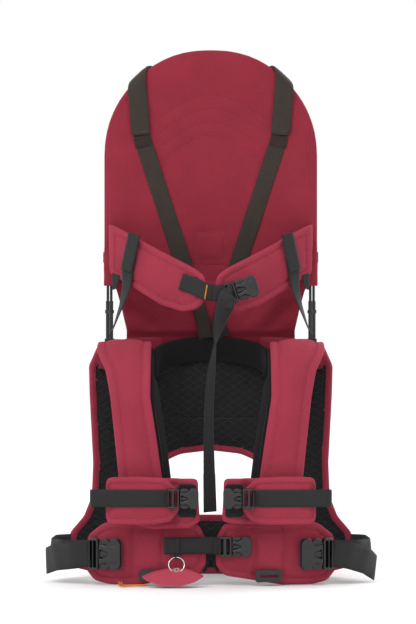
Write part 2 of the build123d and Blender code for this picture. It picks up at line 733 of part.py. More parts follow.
with BuildPart() as belt_tail:
    with BuildSketch(Plane.XZ.offset(-TAIL_Y)):
        add(strap_outline(tail_route, TAIL_WIDTH, print_route("belt_tail", tail_route)))
    extrude(amount=WEB)
save(belt_tail.part, "belt_tail")
print("belt_tail length", round(belt_tail.part.volume / TAIL_WIDTH / WEB, 1))

# ---- side straps: sewn tops on the belt, free runs beside the tubes -------------------------------
WING_RUN = Vector(0.787, 0.617, 0)
SIDE_TOP_WIDTH = 22
SIDE_RUN_WIDTH = 14
SIDE_RUN_Y = 62
with BuildPart() as side_strap_tops:
    for side, hand in SIDES:
        along = (WING_RUN.X, side * WING_RUN.Y, 0)
        facing = (side * WING_RUN.Y, -WING_RUN.X, 0)
        with BuildSketch(Plane(origin=(side * 119.4, 34.1, 466), x_dir=along, z_dir=facing)):
            add(strap_outline(mirrored(side, [(-7, 30), (5, -30)]), SIDE_TOP_WIDTH))
        extrude(amount=WEB)
save(side_strap_tops.part, "side_strap_tops")

with BuildPart() as side_strap_runs:
    for side, hand in SIDES:
        with BuildSketch(Plane.XZ.offset(-SIDE_RUN_Y)):
            add(strap_outline(mirrored(side, [(131, 410), (144, 364)]), SIDE_RUN_WIDTH))
        extrude(amount=-WEB)
save(side_strap_runs.part, "side_strap_runs")

# ---- trim: slotted clips, split ring with its loop, tag, rivet, orange cord ----------------------
with BuildPart() as hem_clips:
    for side, hand in SIDES:
        clip_place = flap_plane(side * 81, 14, 0.4, 1)
        with BuildSketch(clip_place):
            RectangleRounded(38, 17, 3)
            SlotOverall(28, 4, mode=Mode.SUBTRACT)
        extrude(amount=3)
save(hem_clips.part, "hem_clips")

RING_X = -48
RING_Z = 30
RING_Y = -104.6
RING_RADIUS = 11
RING_WIRE = 0.9
with BuildPart() as split_ring:
    with BuildSketch(Plane(origin=(RING_X + RING_RADIUS, RING_Y, RING_Z), z_dir=(0, 0, 1))):
        Circle(RING_WIRE)
    revolve(axis=Axis((RING_X, RING_Y, RING_Z), (0, 1, 0)))
save(split_ring.part, "split_ring")

with BuildPart() as ring_loop:
    with BuildSketch(Plane.XZ.offset(100.6)):
        with Locations((RING_X, RING_Z + RING_RADIUS - 3.4)):
            Rectangle(9, 12)
    extrude(amount=2.4)
save(ring_loop.part, "ring_loop")

TAG_PIVOT = (RING_X, -112, RING_Z - 8)
TAG_LEAN = 48
TAG_THICK = 2
RIVET_HEAD = 4.2
RIVET_SHANK = 2.5
RIVET_BORE = 1.4
HEAD_THICK = 0.6
tag_place = Plane(origin=TAG_PIVOT, x_dir=(1, 0, 0), z_dir=(0, -1, 0)).rotated((-TAG_LEAN, 0, 0))
with BuildPart() as tag:
    with BuildSketch(tag_place):
        with BuildLine():
            Spline((-46, -12), (-14, 5), (4, 6), (42, -10), (14, -28), (-20, -28), (-46, -12),
                   periodic=False)
        make_face()
        Circle(RIVET_SHANK, mode=Mode.SUBTRACT)
    extrude(amount=TAG_THICK)
save(tag.part, "tag")

with BuildPart() as tag_rivet:
    with BuildSketch(tag_place.offset(-HEAD_THICK)):
        Circle(RIVET_HEAD)
        Circle(RIVET_BORE, mode=Mode.SUBTRACT)
    extrude(amount=HEAD_THICK)
    with BuildSketch(tag_place):
        Circle(RIVET_SHANK)
        Circle(RIVET_BORE, mode=Mode.SUBTRACT)
    extrude(amount=TAG_THICK)
    with BuildSketch(tag_place.offset(TAG_THICK)):
        Circle(RIVET_HEAD)
        Circle(RIVET_BORE, mode=Mode.SUBTRACT)
    extrude(amount=HEAD_THICK)
save(tag_rivet.part, "tag_rivet")

CORD = 3
cord_route = [(-97, -110, 1.6), (-108, -115, 1.6), (-118, -114, 1.6), (-128, -118, 1.6)]
with BuildPart() as orange_cord:
    with BuildLine() as cord_line:
        FilletPolyline(*cord_route, radius=print_route("orange_cord", cord_route))
    with BuildSketch(Plane(origin=cord_line.line @ 0, z_dir=cord_line.line % 0)):
        Circle(CORD / 2)
    sweep()
save(orange_cord.part, "orange_cord")
print("orange_cord length", round(orange_cord.part.volume / (pi * CORD ** 2 / 4), 1))
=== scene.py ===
from math import cos, exp, pi, radians, sin, sqrt, tan

import bpy
import numpy as np
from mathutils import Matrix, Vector, noise
from mathutils.bvhtree import BVHTree
from mathutils.geometry import delaunay_2d_cdt


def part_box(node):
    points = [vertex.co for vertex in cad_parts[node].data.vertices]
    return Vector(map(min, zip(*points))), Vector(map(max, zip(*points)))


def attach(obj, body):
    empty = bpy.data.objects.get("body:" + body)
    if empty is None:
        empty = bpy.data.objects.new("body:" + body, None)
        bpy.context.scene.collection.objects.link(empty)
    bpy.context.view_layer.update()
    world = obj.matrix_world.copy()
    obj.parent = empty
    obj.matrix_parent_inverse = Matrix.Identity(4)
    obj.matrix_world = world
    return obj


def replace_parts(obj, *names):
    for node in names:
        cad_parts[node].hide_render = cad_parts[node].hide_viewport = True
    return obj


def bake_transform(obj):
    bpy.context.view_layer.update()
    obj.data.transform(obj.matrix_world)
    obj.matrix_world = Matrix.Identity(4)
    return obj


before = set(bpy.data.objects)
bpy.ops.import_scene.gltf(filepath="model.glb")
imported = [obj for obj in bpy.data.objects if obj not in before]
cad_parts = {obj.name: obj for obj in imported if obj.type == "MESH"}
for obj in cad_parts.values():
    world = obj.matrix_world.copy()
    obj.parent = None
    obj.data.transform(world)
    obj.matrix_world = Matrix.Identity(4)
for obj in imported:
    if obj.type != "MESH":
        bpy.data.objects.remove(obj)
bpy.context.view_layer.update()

# Child shoulder carrier. Lengths are in millimetres about the shoulder arch, as the hard parts are drawn;
# at() turns such a place into the frame's metres.

MM = 0.001
PAD_FRONT = -102
CAMERA_AWAY = 4100
SENSOR = 36
LENS = 164.8
FORWARDS = (0, -1, 0)
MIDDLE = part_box("shoulder_pad_left")[0].y / MM - PAD_FRONT
SIDES = ((-1, "left"), (1, "right"))


def at(x, y, z):
    """Place in the frame, in metres."""
    return Vector((x, y + MIDDLE, z)) * MM


# ---- camera and light ---------------------------------------------------------------------------
camera = bpy.data.objects.new("camera", bpy.data.cameras.new("camera"))
bpy.context.scene.collection.objects.link(camera)
bpy.context.scene.camera = camera
camera.location = at(-4, -CAMERA_AWAY, 384)
camera.rotation_euler = (pi / 2, 0, 0)
camera.data.sensor_width = SENSOR
camera.data.lens = LENS
bpy.context.scene.view_settings.view_transform = "Standard"


def area_light(name, place, target, size, power):
    """Soft box that shines at a target."""
    light = bpy.data.objects.new(name, bpy.data.lights.new(name, "AREA"))
    light.data.size = size
    light.data.energy = power
    light.location = place
    light.rotation_euler = (Vector(target) - Vector(place)).to_track_quat("-Z", "Y").to_euler()
    bpy.context.scene.collection.objects.link(light)


OBJECT_MIDDLE = (0, 0, 0.4)
area_light("key_light", (-1.6, -2.2, 2.6), OBJECT_MIDDLE, 1.2, 30)
area_light("rim_light", (1.6, 2.0, 2.0), OBJECT_MIDDLE, 1.4, 26)

sun = bpy.data.objects.new("studio_sun", bpy.data.lights.new("studio_sun", "SUN"))
sun.data.energy = 0.5
sun.data.angle = radians(60)
sun.rotation_euler = (radians(35), radians(-20), 0)
bpy.context.scene.collection.objects.link(sun)

world = bpy.data.worlds.new("studio")
bpy.context.scene.world = world
world.use_nodes = True
world.node_tree.nodes["Background"].inputs["Color"].default_value = (1, 1, 1, 1)
world.node_tree.nodes["Background"].inputs["Strength"].default_value = 1.0


# ---- materials ----------------------------------------------------------------------------------
def srgb(red, green, blue):
    """Linear colour of a screen colour."""
    def linear(value):
        value /= 255
        return value / 12.92 if value <= 0.04045 else ((value + 0.055) / 1.055) ** 2.4
    return (linear(red), linear(green), linear(blue), 1)


def shade(colour, factor):
    """Colour made darker or lighter."""
    return tuple(min(1, channel * factor) for channel in colour[:3]) + (1,)


class Finish:
    """Material under construction, with short ways to add nodes."""

    def __init__(self, name, roughness, coordinates="UV", **settings):
        self.material = bpy.data.materials.new(name)
        self.material.use_nodes = True
        self.tree = self.material.node_tree
        self.shader = self.tree.nodes["Principled BSDF"]
        self.shader.inputs["Roughness"].default_value = roughness
        for key, value in settings.items():
            self.shader.inputs[key.replace("_", " ").title().replace("Ior", "IOR")].default_value = value
        self.coordinates = self.tree.nodes.new("ShaderNodeTexCoord").outputs[coordinates]

    def node(self, kind, settings=None, **inputs):
        """New node, its settings and what its sockets take."""
        made = self.tree.nodes.new("ShaderNode" + kind)
        for key, value in (settings or {}).items():
            setattr(made, key, value)
        for key, value in inputs.items():
            socket = made.inputs[int(key[2:]) if key.startswith("at") else key.replace("_", " ")]
            if isinstance(value, bpy.types.NodeSocket):
                self.tree.links.new(value, socket)
            else:
                socket.default_value = value
        return made

    def noise(self, size, detail=3):
        """Cloudy noise whose patches are about this size in metres."""
        return self.node("TexNoise", Vector=self.coordinates, Scale=1 / size, Detail=detail).outputs["Fac"]

    def bands(self, direction, pitch, distortion=0.0):
        """Evenly spaced ribs with a pitch in metres."""
        return self.node("TexWave", {"bands_direction": direction}, Vector=self.coordinates,
                         Scale=2 * pi / (20 * pitch), Distortion=distortion).outputs["Fac"]

    def math(self, operation, first, second):
        """Result of a sum on two values."""
        return self.node("Math", {"operation": operation}, at0=first, at1=second).outputs[0]

    def mix(self, factor, first, second):
        """Blend of two colours."""
        made = self.node("Mix", {"data_type": "RGBA"}, at0=factor, at6=first, at7=second)
        return made.outputs[2]

    def cloudy(self, colour, size, dark, pale, detail=3):
        """Colour that drifts between two shades over patches of about this size in metres."""
        return self.mix(self.noise(size, detail), shade(colour, dark), shade(colour, pale))

    def ramp(self, value, low, high, out_low=0.0, out_high=1.0):
        """Value moved from one range to another and kept in it."""
        return self.node("MapRange", Value=value, From_Min=low, From_Max=high, To_Min=out_low,
                         To_Max=out_high).outputs[0]

    def colour(self, socket):
        self.tree.links.new(socket, self.shader.inputs["Base Color"])

    def roughness(self, socket):
        self.tree.links.new(socket, self.shader.inputs["Roughness"])

    def bump(self, height, distance, strength=1.0, below=None):
        """Bump of a depth in metres, on top of another if one is given."""
        extra = {"Normal": below} if below is not None else {}
        made = self.node("Bump", Height=height, Distance=distance, Strength=strength, **extra)
        self.tree.links.new(made.outputs[0], self.shader.inputs["Normal"])
        return made.outputs[0]


THREAD_PITCH = 0.0011


def canvas(name, colour, sheen=0.3):
    """Woven polyester: crossed threads, cloudy dye, a soft sheen."""
    finish = Finish(name, 0.88, sheen_weight=sheen, sheen_roughness=0.45, specular_ior_level=0.25)
    finish.shader.inputs["Sheen Tint"].default_value = shade(colour, 2.2)
    weave = finish.math("MULTIPLY", finish.bands("X", THREAD_PITCH, 0.6),
                        finish.bands("Y", THREAD_PITCH, 0.6))
    slub = finish.node("TexNoise", Vector=finish.coordinates, Scale=420.0, Detail=2.0).outputs["Fac"]
    cloud = finish.ramp(finish.noise(0.055, 4), 0.3, 0.7)
    base = finish.mix(cloud, shade(colour, 0.86), shade(colour, 1.1))
    flecked = finish.mix(finish.ramp(slub, 0.35, 0.7, 0.0, 0.5), base, shade(colour, 1.35))
    finish.colour(finish.mix(finish.ramp(weave, 0.0, 0.5, 0.4, 0.0), flecked, shade(colour, 0.5)))
    finish.bump(weave, 0.0004, 0.7, finish.bump(finish.noise(0.012, 4), 0.0012, 0.45))
    return finish.material


QUILT_WIDTH = 17
QUILT_HEIGHT = 11


def spacer_mesh(name, colour, quilted=False):
    """Black knitted spacer mesh: small holes in a soft knit, with a quilting thread if asked."""
    finish = Finish(name, 0.8, sheen_weight=0.08, sheen_roughness=0.5, specular_ior_level=0.3)
    holes = finish.node("TexVoronoi", Vector=finish.coordinates, Scale=420.0).outputs["Distance"]
    cloud = finish.cloudy(colour, 0.03, 0.7, 1.7)
    knit = finish.mix(finish.ramp(holes, 0.12, 0.4), shade(colour, 0.2), cloud)
    below = finish.bump(holes, 0.0007, 0.8)
    if quilted:
        axes = finish.node("SeparateXYZ", Vector=finish.coordinates).outputs
        lines = []
        for way in (1, -1):
            across = finish.math("MULTIPLY", axes[0], 1 / (QUILT_WIDTH * MM))
            share = finish.math("ADD", across, finish.math("MULTIPLY", axes[1], way / (QUILT_HEIGHT * MM)))
            off_middle = finish.math("SUBTRACT", finish.math("FRACT", share, 0.0), 0.5)
            lines.append(finish.math("ABSOLUTE", off_middle, 0.0))
        thread = finish.ramp(finish.math("MAXIMUM", lines[0], lines[1]), 0.42, 0.49)
        knit = finish.mix(finish.math("MULTIPLY", thread, 0.75), knit, shade(colour, 5.5))
        finish.bump(thread, 0.0012, 1.0, below)
    finish.colour(knit)
    return finish.material


def webbing(name, colour, pitch=0.0017):
    """Flat woven strap: ribs across it and a fine twill along it."""
    finish = Finish(name, 0.68, sheen_weight=0.08, sheen_roughness=0.4, specular_ior_level=0.35)
    ribs = finish.bands("Y", pitch, 0.4)
    cords = finish.bands("X", 0.0021, 0.2)
    height = finish.math("ADD", ribs, finish.math("MULTIPLY", cords, 0.5))
    cloud = finish.cloudy(colour, 0.02, 0.75, 1.3, 4)
    finish.colour(finish.mix(finish.ramp(height, 0.2, 1.2, 0.45, 0.0), cloud, shade(colour, 0.35)))
    finish.bump(height, 0.00045, 0.8)
    return finish.material


def moulded(name, colour, roughness, grain=0.0009, depth=0.00006):
    """Moulded plastic: fine spark-eroded grain, scuffed paler edges."""
    finish = Finish(name, roughness, "Object", specular_ior_level=0.5)
    pitted = finish.noise(grain, 2)
    edge = finish.node("NewGeometry").outputs["Pointiness"]
    worn = finish.math("MULTIPLY", finish.ramp(edge, 0.51, 0.6), finish.ramp(finish.noise(0.004), 0.35, 0.65))
    cloud = finish.cloudy(colour, 0.015, 0.8, 1.25)
    finish.colour(finish.mix(finish.math("MULTIPLY", worn, 0.5), cloud, shade(colour, 2.6)))
    finish.roughness(finish.ramp(finish.noise(0.006), 0.3, 0.7, roughness - 0.06, roughness + 0.1))
    finish.bump(pitted, depth, 0.6)
    return finish.material


def metal(name, colour, roughness):
    """Drawn metal: fine scratches along it and cloudy polish."""
    finish = Finish(name, roughness, "Object", metallic=1.0)
    scratches = finish.node("TexNoise", Vector=finish.coordinates, Scale=900.0, Detail=2.0).outputs["Fac"]
    finish.colour(finish.cloudy(colour, 0.01, 0.85, 1.05))
    finish.roughness(finish.ramp(scratches, 0.3, 0.7, roughness - 0.05, roughness + 0.12))
    finish.bump(scratches, 0.00003, 0.4)
    return finish.material


def hide(name, colour):
    """Coated leaf of synthetic leather: pebbled grain."""
    finish = Finish(name, 0.55, sheen_weight=0.1, specular_ior_level=0.4)
    pebbles = finish.node("TexVoronoi", Vector=finish.coordinates, Scale=700.0).outputs["Distance"]
    finish.colour(finish.cloudy(colour, 0.008, 0.85, 1.12))
    finish.bump(pebbles, 0.0002, 0.6)
    return finish.material


def braid(name, colour):
    """Braided cord: crossed strands."""
    finish = Finish(name, 0.7, "Object", sheen_weight=0.2)
    strands = finish.math("MULTIPLY", finish.bands("DIAGONAL", 0.0016), finish.bands("X", 0.0013))
    finish.colour(finish.mix(strands, shade(colour, 0.65), shade(colour, 1.2)))
    finish.bump(strands, 0.0003, 0.7)
    return finish.material


BURGUNDY = srgb(150, 47, 65)
REST_BURGUNDY = srgb(138, 37, 54)
CANVAS = canvas("burgundy_canvas", BURGUNDY)
REST_CANVAS = canvas("backrest_canvas", REST_BURGUNDY)
BINDING = canvas("burgundy_binding", srgb(154, 50, 69))
MESH = spacer_mesh("black_spacer_mesh", srgb(14, 14, 16), True)
BLACK_CLOTH = canvas("black_lining", srgb(24, 23, 25), 0.05)
BLACK_WEB = webbing("black_webbing", srgb(30, 29, 30))
OLIVE_WEB = webbing("olive_webbing", srgb(47, 37, 29))
HOOK = spacer_mesh("hook_tape", srgb(38, 24, 21))
BLACK_HOOK = spacer_mesh("black_hook_tape", srgb(15, 15, 17))
THREAD = webbing("burgundy_thread", srgb(172, 66, 86), 0.0006)
BLACK_THREAD = webbing("black_thread", srgb(88, 84, 84), 0.0006)
ORANGE_THREAD = webbing("orange_thread", srgb(250, 150, 30), 0.0006)
ORANGE = braid("orange_cord", srgb(250, 130, 15))
PLASTIC = moulded("buckle_plastic", srgb(21, 21, 23), 0.36)
NYLON = moulded("frame_nylon", srgb(20, 20, 22), 0.42)
GLOSS = moulded("black_tube", srgb(17, 17, 19), 0.16, 0.003, 0.00002)
BARE = metal("bare_aluminium", srgb(196, 198, 202), 0.28)
STEEL = metal("nickelled_steel", srgb(214, 212, 206), 0.18)
LEATHER = hide("burgundy_leaf", srgb(166, 50, 70))

# The hard CAD nodes that no piece here replaces.
HARD = [(PLASTIC, "hem_clips"), (GLOSS, "inner_rods outer_tubes hoop_frame back_frame"),
        (NYLON, "back_stiffener pivot_brackets rod_sockets strut_knuckles tube_collars"),
        (BARE, "shoulder_stays"), (STEEL, "pivot_pins tag_rivet")]
for material, names in HARD:
    for name in names.split():
        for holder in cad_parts[name].material_slots:
            holder.material = material


# ---- meshes -------------------------------------------------------------------------------------
def build(name, points, faces, materials, flat=None, choice=None):
    """Smooth mesh object in the scene, with its flat coordinates in metres as UVs."""
    mesh = bpy.data.meshes.new(name)
    mesh.from_pydata(points, [], faces)
    for material in materials:
        mesh.materials.append(material)
    if choice is not None:
        mesh.polygons.foreach_set("material_index", choice)
    if flat is not None:
        corners = np.empty(len(mesh.loops), int)
        mesh.loops.foreach_get("vertex_index", corners)
        layer = mesh.uv_layers.new(name="flat")
        layer.data.foreach_set("uv", np.asarray(flat, np.float32)[corners].ravel())
    mesh.polygons.foreach_set("use_smooth", [True] * len(mesh.polygons))
    mesh.update()
    piece = bpy.data.objects.new(name, mesh)
    bpy.context.scene.collection.objects.link(piece)
    return piece


def rounded(points, radius, closed=True):
    """Outline or route whose corners are rounded, as close points."""
    points = [Vector(point) for point in points]
    radii = radius if isinstance(radius, (list, tuple)) else [radius] * len(points)
    path = []
    for place, corner in enumerate(points):
        if not closed and place in (0, len(points) - 1):
            path.append(corner)
            continue
        back, ahead = points[place - 1] - corner, points[(place + 1) % len(points)] - corner
        cut = min(radii[place] / max(0.05, tan(back.angle(ahead) / 2)),
                  0.49 * back.length, 0.49 * ahead.length)
        start, end = corner + back.normalized() * cut, corner + ahead.normalized() * cut
        for step in np.linspace(0, 1, 8):
            path.append(start * (1 - step) ** 2 + corner * 2 * step * (1 - step) + end * step ** 2)
    return path


def run_along(path):
    """Length of a path up to each of its points."""
    return np.r_[0, np.cumsum(np.linalg.norm(np.diff(path, axis=0), axis=1))]


def spaced(path, step, closed=True):
    """Points at even spacing along a path, as an array."""
    rows = np.array([tuple(point) for point in path], float)
    if closed:
        rows = np.vstack([rows, rows[:1]])
    run = run_along(rows)
    count = max(3, int(round(run[-1] / step)))
    stations = np.linspace(0, run[-1], count + 1)[:-1 if closed else None]
    return np.column_stack([np.interp(stations, run, column) for column in rows.T])


def heading(path, number):
    """Direction of a path at one of its points."""
    return Vector(path[min(number + 1, len(path) - 1)] - path[max(number - 1, 0)]).normalized()


def trail(points, radius, step):
    """Close points along an open line whose corners are rounded."""
    return spaced(rounded(points, radius, False), step, False)


def distances(points, path, closed):
    """Distance of each point from a path."""
    points = np.asarray(points, float)
    starts = path if closed else path[:-1]
    ends = np.roll(path, -1, axis=0) if closed else path[1:]
    nearest = np.full(len(points), np.inf)
    for start, end in zip(starts, ends):
        run = end - start
        share = np.clip(((points - start) @ run) / max(run @ run, 1e-9), 0, 1)
        nearest = np.minimum(nearest, np.linalg.norm(points - start - share[:, None] * run, axis=1))
    return nearest


def within(points, loop):
    """Which points lie inside a closed loop."""
    points = np.asarray(points, float)
    held = np.zeros(len(points), bool)
    for (ax, ay), (bx, by) in zip(loop, np.roll(loop, -1, axis=0)):
        crosses = (ay > points[:, 1]) != (by > points[:, 1])
        if crosses.any():
            where = ax + (points[:, 1] - ay) / (by - ay if by != ay else 1e-9) * (bx - ax)
            held ^= crosses & (points[:, 0] < where)
    return held


def inside(points, loops):
    """Which points lie inside the first loop and outside the others."""
    keep = within(points, loops[0])
    for window in loops[1:]:
        keep &= ~within(points, window)
    return keep


def moved_in(loop, amount):
    """Loop's points moved sideways by an amount."""
    along = np.roll(loop, -1, axis=0) - np.roll(loop, 1, axis=0)
    along /= np.linalg.norm(along, axis=1)[:, None] + 1e-9
    return loop + amount * np.column_stack([-along[:, 1], along[:, 0]])


def thickness(profile, distance):
    """Half thickness at a distance from the edge."""
    return np.interp(distance, [step for step, height in profile], [height for step, height in profile])


LATTICE_ROW = 0.866
GROOVE_WIDTH = 2.6
RIM_ROWS = 30
STITCH_LIFT = 0.2
NO_SEAM = 1000.0
AT_EDGE = 0.02
PUFF_FRAMES = 14


class Panel:
    """Closed fabric panel on a curved surface, from an outline drawn flat on that surface.

    front and back give each side's half thickness at distances from the edge. Seams pull both sides in."""

    def __init__(self, name, materials, edge, surface, front, back, cell=5.0, seams=(), windows=(),
                 band=0.0, relief=None, groove=1.6, fade=12):
        self.surface, self.tree = surface, None
        self.loops = [spaced(edge, cell)] + [spaced(window, cell) for window in windows]
        self.lines = [spaced(seam, cell, closed=False) for seam in seams]
        flat, faces = self.triangles([step for step, height in front if 0 < step <= RIM_ROWS], cell)
        edge_distance = np.min([distances(flat, loop, True) for loop in self.loops], axis=0)
        from_seams = [distances(flat, line, False) for line in self.lines]
        seam_distance = np.min(from_seams + [np.full(len(flat), NO_SEAM)], axis=0)
        pinch = groove * np.exp(-(seam_distance / GROOVE_WIDTH) ** 2)
        rim = edge_distance < AT_EDGE
        front_pinch = np.where(rim, 0, np.minimum(pinch, 0.8 * front[-1][1]))
        back_pinch = np.where(rim, 0, np.minimum(pinch * 0.7, 0.6 * back[-1][1]))
        raise_front = thickness(front, edge_distance) - front_pinch
        sink_back = thickness(back, edge_distance) - back_pinch
        if relief:
            swell = np.array([relief(x, z) for x, z in flat])
            raise_front += swell * np.clip(edge_distance / fade, 0, 1)
        outer, inner, second = [], [], {}
        for place, (x, z) in enumerate(flat):
            spot, facing = surface(x, z)
            outer.append(at(*(spot + facing * raise_front[place])))
            if not rim[place]:
                second[place] = len(flat) + len(inner)
                inner.append(at(*(spot - facing * sink_back[place])))
        spot, facing = surface(*flat[faces[0][0]])
        turn = (outer[faces[0][1]] - outer[faces[0][0]]).cross(outer[faces[0][2]] - outer[faces[0][0]])
        if turn.dot(facing) < 0:
            faces = [tuple(reversed(face)) for face in faces]
        near = [edge_distance[list(face)].mean() < band for face in faces]
        backs = [tuple(second.get(corner, corner) for corner in reversed(face)) for face in faces]
        kept = [place for place, face in enumerate(backs) if max(face) >= len(flat)]
        choice = [2 if at_rim else 0 for at_rim in near] + [2 if near[place] else 1 for place in kept]
        flat_all = np.vstack([flat, flat[sorted(second)]]) * MM
        self.piece = build(name, outer + inner, faces + [backs[place] for place in kept], materials, flat_all,
                           choice)
        both = np.r_[edge_distance, edge_distance[sorted(second)]]
        both_seams = np.r_[seam_distance, seam_distance[sorted(second)]]
        self.held = [int(i) for i in np.nonzero((both < max(band, 1)) | (both_seams < 1.0))[0]]

    def clear(self, points, from_edge, from_seams):
        """Points inside the panel that keep their distance from its edges and seams."""
        keep = inside(points, self.loops)
        for loop in self.loops:
            keep &= distances(points, loop, True) >= from_edge
        for line in self.lines:
            keep &= distances(points, line, False) >= from_seams
        return points[keep]

    def free_corners(self, rows, cell):
        """Corners of the mesh between its edges and seams: rows beside them, and a lattice."""
        low, high = self.loops[0].min(axis=0), self.loops[0].max(axis=0)
        columns = np.arange(low[0], high[0], cell)
        lattice = [(x + (cell / 2 if row % 2 else 0), z)
                   for row, z in enumerate(np.arange(low[1], high[1], cell * LATTICE_ROW)) for x in columns]
        corners = list(self.clear(np.array(lattice), rows[-1] * 0.3 + 0.6 * cell, 2 + 0.5 * cell))
        for loop in self.loops:
            for step in rows:
                for way in (-1, 1):
                    corners.extend(self.clear(moved_in(loop, way * step), 0.93 * step, 2 + 0.3 * cell))
        for line in self.lines:
            for way in (-2, 2):
                corners.extend(self.clear(moved_in(line, way)[1:-1], 1.5, 1.6))
        return corners

    def triangles(self, rows, cell):
        """The panel's flat corners and the triangles between them."""
        points, edges = [], []
        for row, closed in [(loop, 1) for loop in self.loops] + [(line, 0) for line in self.lines]:
            first, count = len(points), len(row)
            points.extend(row)
            edges.extend((first + i, first + (i + 1) % count) for i in range(count - 1 + closed))
        points.extend(self.free_corners(rows, cell))
        made = delaunay_2d_cdt([Vector(point) for point in points], edges, [], 1, 0.01)
        flat = np.array([tuple(point) for point in made[0]])
        centres = np.array([flat[list(face)].mean(axis=0) for face in made[2]])
        faces = [face for face, kept in zip(made[2], inside(centres, self.loops)) if kept]
        used = sorted({corner for face in faces for corner in face})
        renumber = {corner: place for place, corner in enumerate(used)}
        return flat[used], [tuple(renumber[corner] for corner in face) for face in faces]

    def puff(self, limit, pressure):
        """Blow the fabric up between its seams with a cloth simulation, no further than the limit."""
        piece = self.piece
        group = piece.vertex_groups.new(name="held")
        group.add(self.held, 1.0, "REPLACE")
        cloth = piece.modifiers.new("cloth", "CLOTH")
        settings = cloth.settings
        settings.use_pressure = True
        settings.uniform_pressure_force = pressure
        settings.effector_weights.gravity = 0
        settings.vertex_group_mass = "held"
        settings.quality = 4
        settings.mass = 0.25
        settings.bending_stiffness = 0.6
        cloth.point_cache.frame_end = PUFF_FRAMES
        scene = bpy.context.scene
        for number in range(1, PUFF_FRAMES + 1):
            scene.frame_set(number)
        before = np.empty(len(piece.data.vertices) * 3)
        after = np.empty_like(before)
        piece.data.vertices.foreach_get("co", before)
        blown = piece.evaluated_get(bpy.context.evaluated_depsgraph_get())
        blown.to_mesh().vertices.foreach_get("co", after)
        blown.to_mesh_clear()
        piece.modifiers.remove(cloth)
        piece.vertex_groups.clear()
        shift = (after - before).reshape(-1, 3)
        length = np.linalg.norm(shift, axis=1)
        allowed = limit * MM * np.tanh(length / (limit * MM))
        shift *= (allowed / np.maximum(length, 1e-9))[:, None]
        piece.data.vertices.foreach_set("co", (before.reshape(-1, 3) + shift).ravel())
        piece.data.update()
        scene.frame_set(1)

    def laid(self, path, behind):
        """Places and facings of a flat path on the panel's final surface."""
        if self.tree is None:
            mesh = self.piece.data
            self.tree = BVHTree.FromPolygons([corner.co for corner in mesh.vertices],
                                             [tuple(face.vertices) for face in mesh.polygons])
        found = []
        for x, z in path:
            spot, facing = self.surface(x, z)
            facing = -facing if behind else facing
            hit = self.tree.ray_cast(at(*(spot + facing * 30)), -facing, 0.05)
            if hit[0] is not None:
                found.append((hit[0] + facing * STITCH_LIFT * MM, facing))
        return found

    def hem(self, inset):
        """Closed line inside the panel, at an even distance from its edge."""
        rows = [moved_in(self.loops[0], way * inset) for way in (-1, 1)]
        return next(row for row in rows if within(row, self.loops[0]).mean() > 0.5)

    def sew(self, body, thread, paths, behind=False, **size):
        """Row of stitches along each flat path."""
        for path in paths:
            stitching.sew(body, thread, self.laid(path, behind), **size)


class Stitching:
    """All the stitches of one thread on one body, as one mesh."""

    def __init__(self):
        self.rows = {}

    def sew(self, body, thread, places, pitch=3.6, length=2.3, radius=0.38):
        """Row of stitches along places on a surface."""
        if len(places) < 2:
            return
        points = np.array([tuple(place) for place, facing in places])
        facings = np.array([tuple(facing) for place, facing in places])
        run = run_along(points)
        verts, faces = self.rows.setdefault((body, thread.name), ([], []))
        for middle in np.arange(pitch / 2, run[-1] / MM, pitch):
            ends = [np.array([np.interp((middle + half) * MM, run, column) for column in points.T])
                    for half in (-length / 2, length / 2)]
            facing = Vector([np.interp(middle * MM, run, column) for column in facings.T]).normalized()
            start, end = Vector(ends[0]), Vector(ends[1])
            along = end - start
            if along.length < 1e-5:
                continue
            across = along.cross(facing).normalized() * radius * MM
            up = facing * radius * MM
            first = len(verts)
            verts.append(start - up * 0.6)
            for share in (0.22, 0.78):
                spot = start + along * share
                verts.extend([spot + across, spot + up, spot - across, spot - up])
            verts.append(end - up * 0.6)
            for side in range(4):
                other = (side + 1) % 4
                faces.append((first, first + 1 + other, first + 1 + side))
                faces.append((first + 1 + side, first + 1 + other, first + 5 + other, first + 5 + side))
                faces.append((first + 9, first + 5 + side, first + 5 + other))

    def finish(self):
        """Make the meshes and give each its body."""
        for (body, thread), (verts, faces) in self.rows.items():
            flat = [(point.x, point.z) for point in verts]
            piece = build(f"stitching_{body}_{thread}", verts, faces, [bpy.data.materials[thread]], flat)
            rides(piece, body, "burgundy_canvas" if thread == THREAD.name else "black_webbing")


stitching = Stitching()


def swept(name, sections, material, flat):
    """Skin over a row of cross sections, with its two ends closed."""
    count = len(sections[0])
    points = [point for section in sections for point in section]
    faces = []
    for here in range(0, len(points) - count, count):
        there = here + count
        for place in range(count):
            other = (place + 1) % count
            faces.append((here + place, here + other, there + other, there + place))
    faces.append(tuple(reversed(range(count))))
    faces.append(tuple(range(len(points) - count, len(points))))
    return build(name, points, faces, [material], flat)


STRAP_COLUMNS = 6
UV_BACK = 0.003


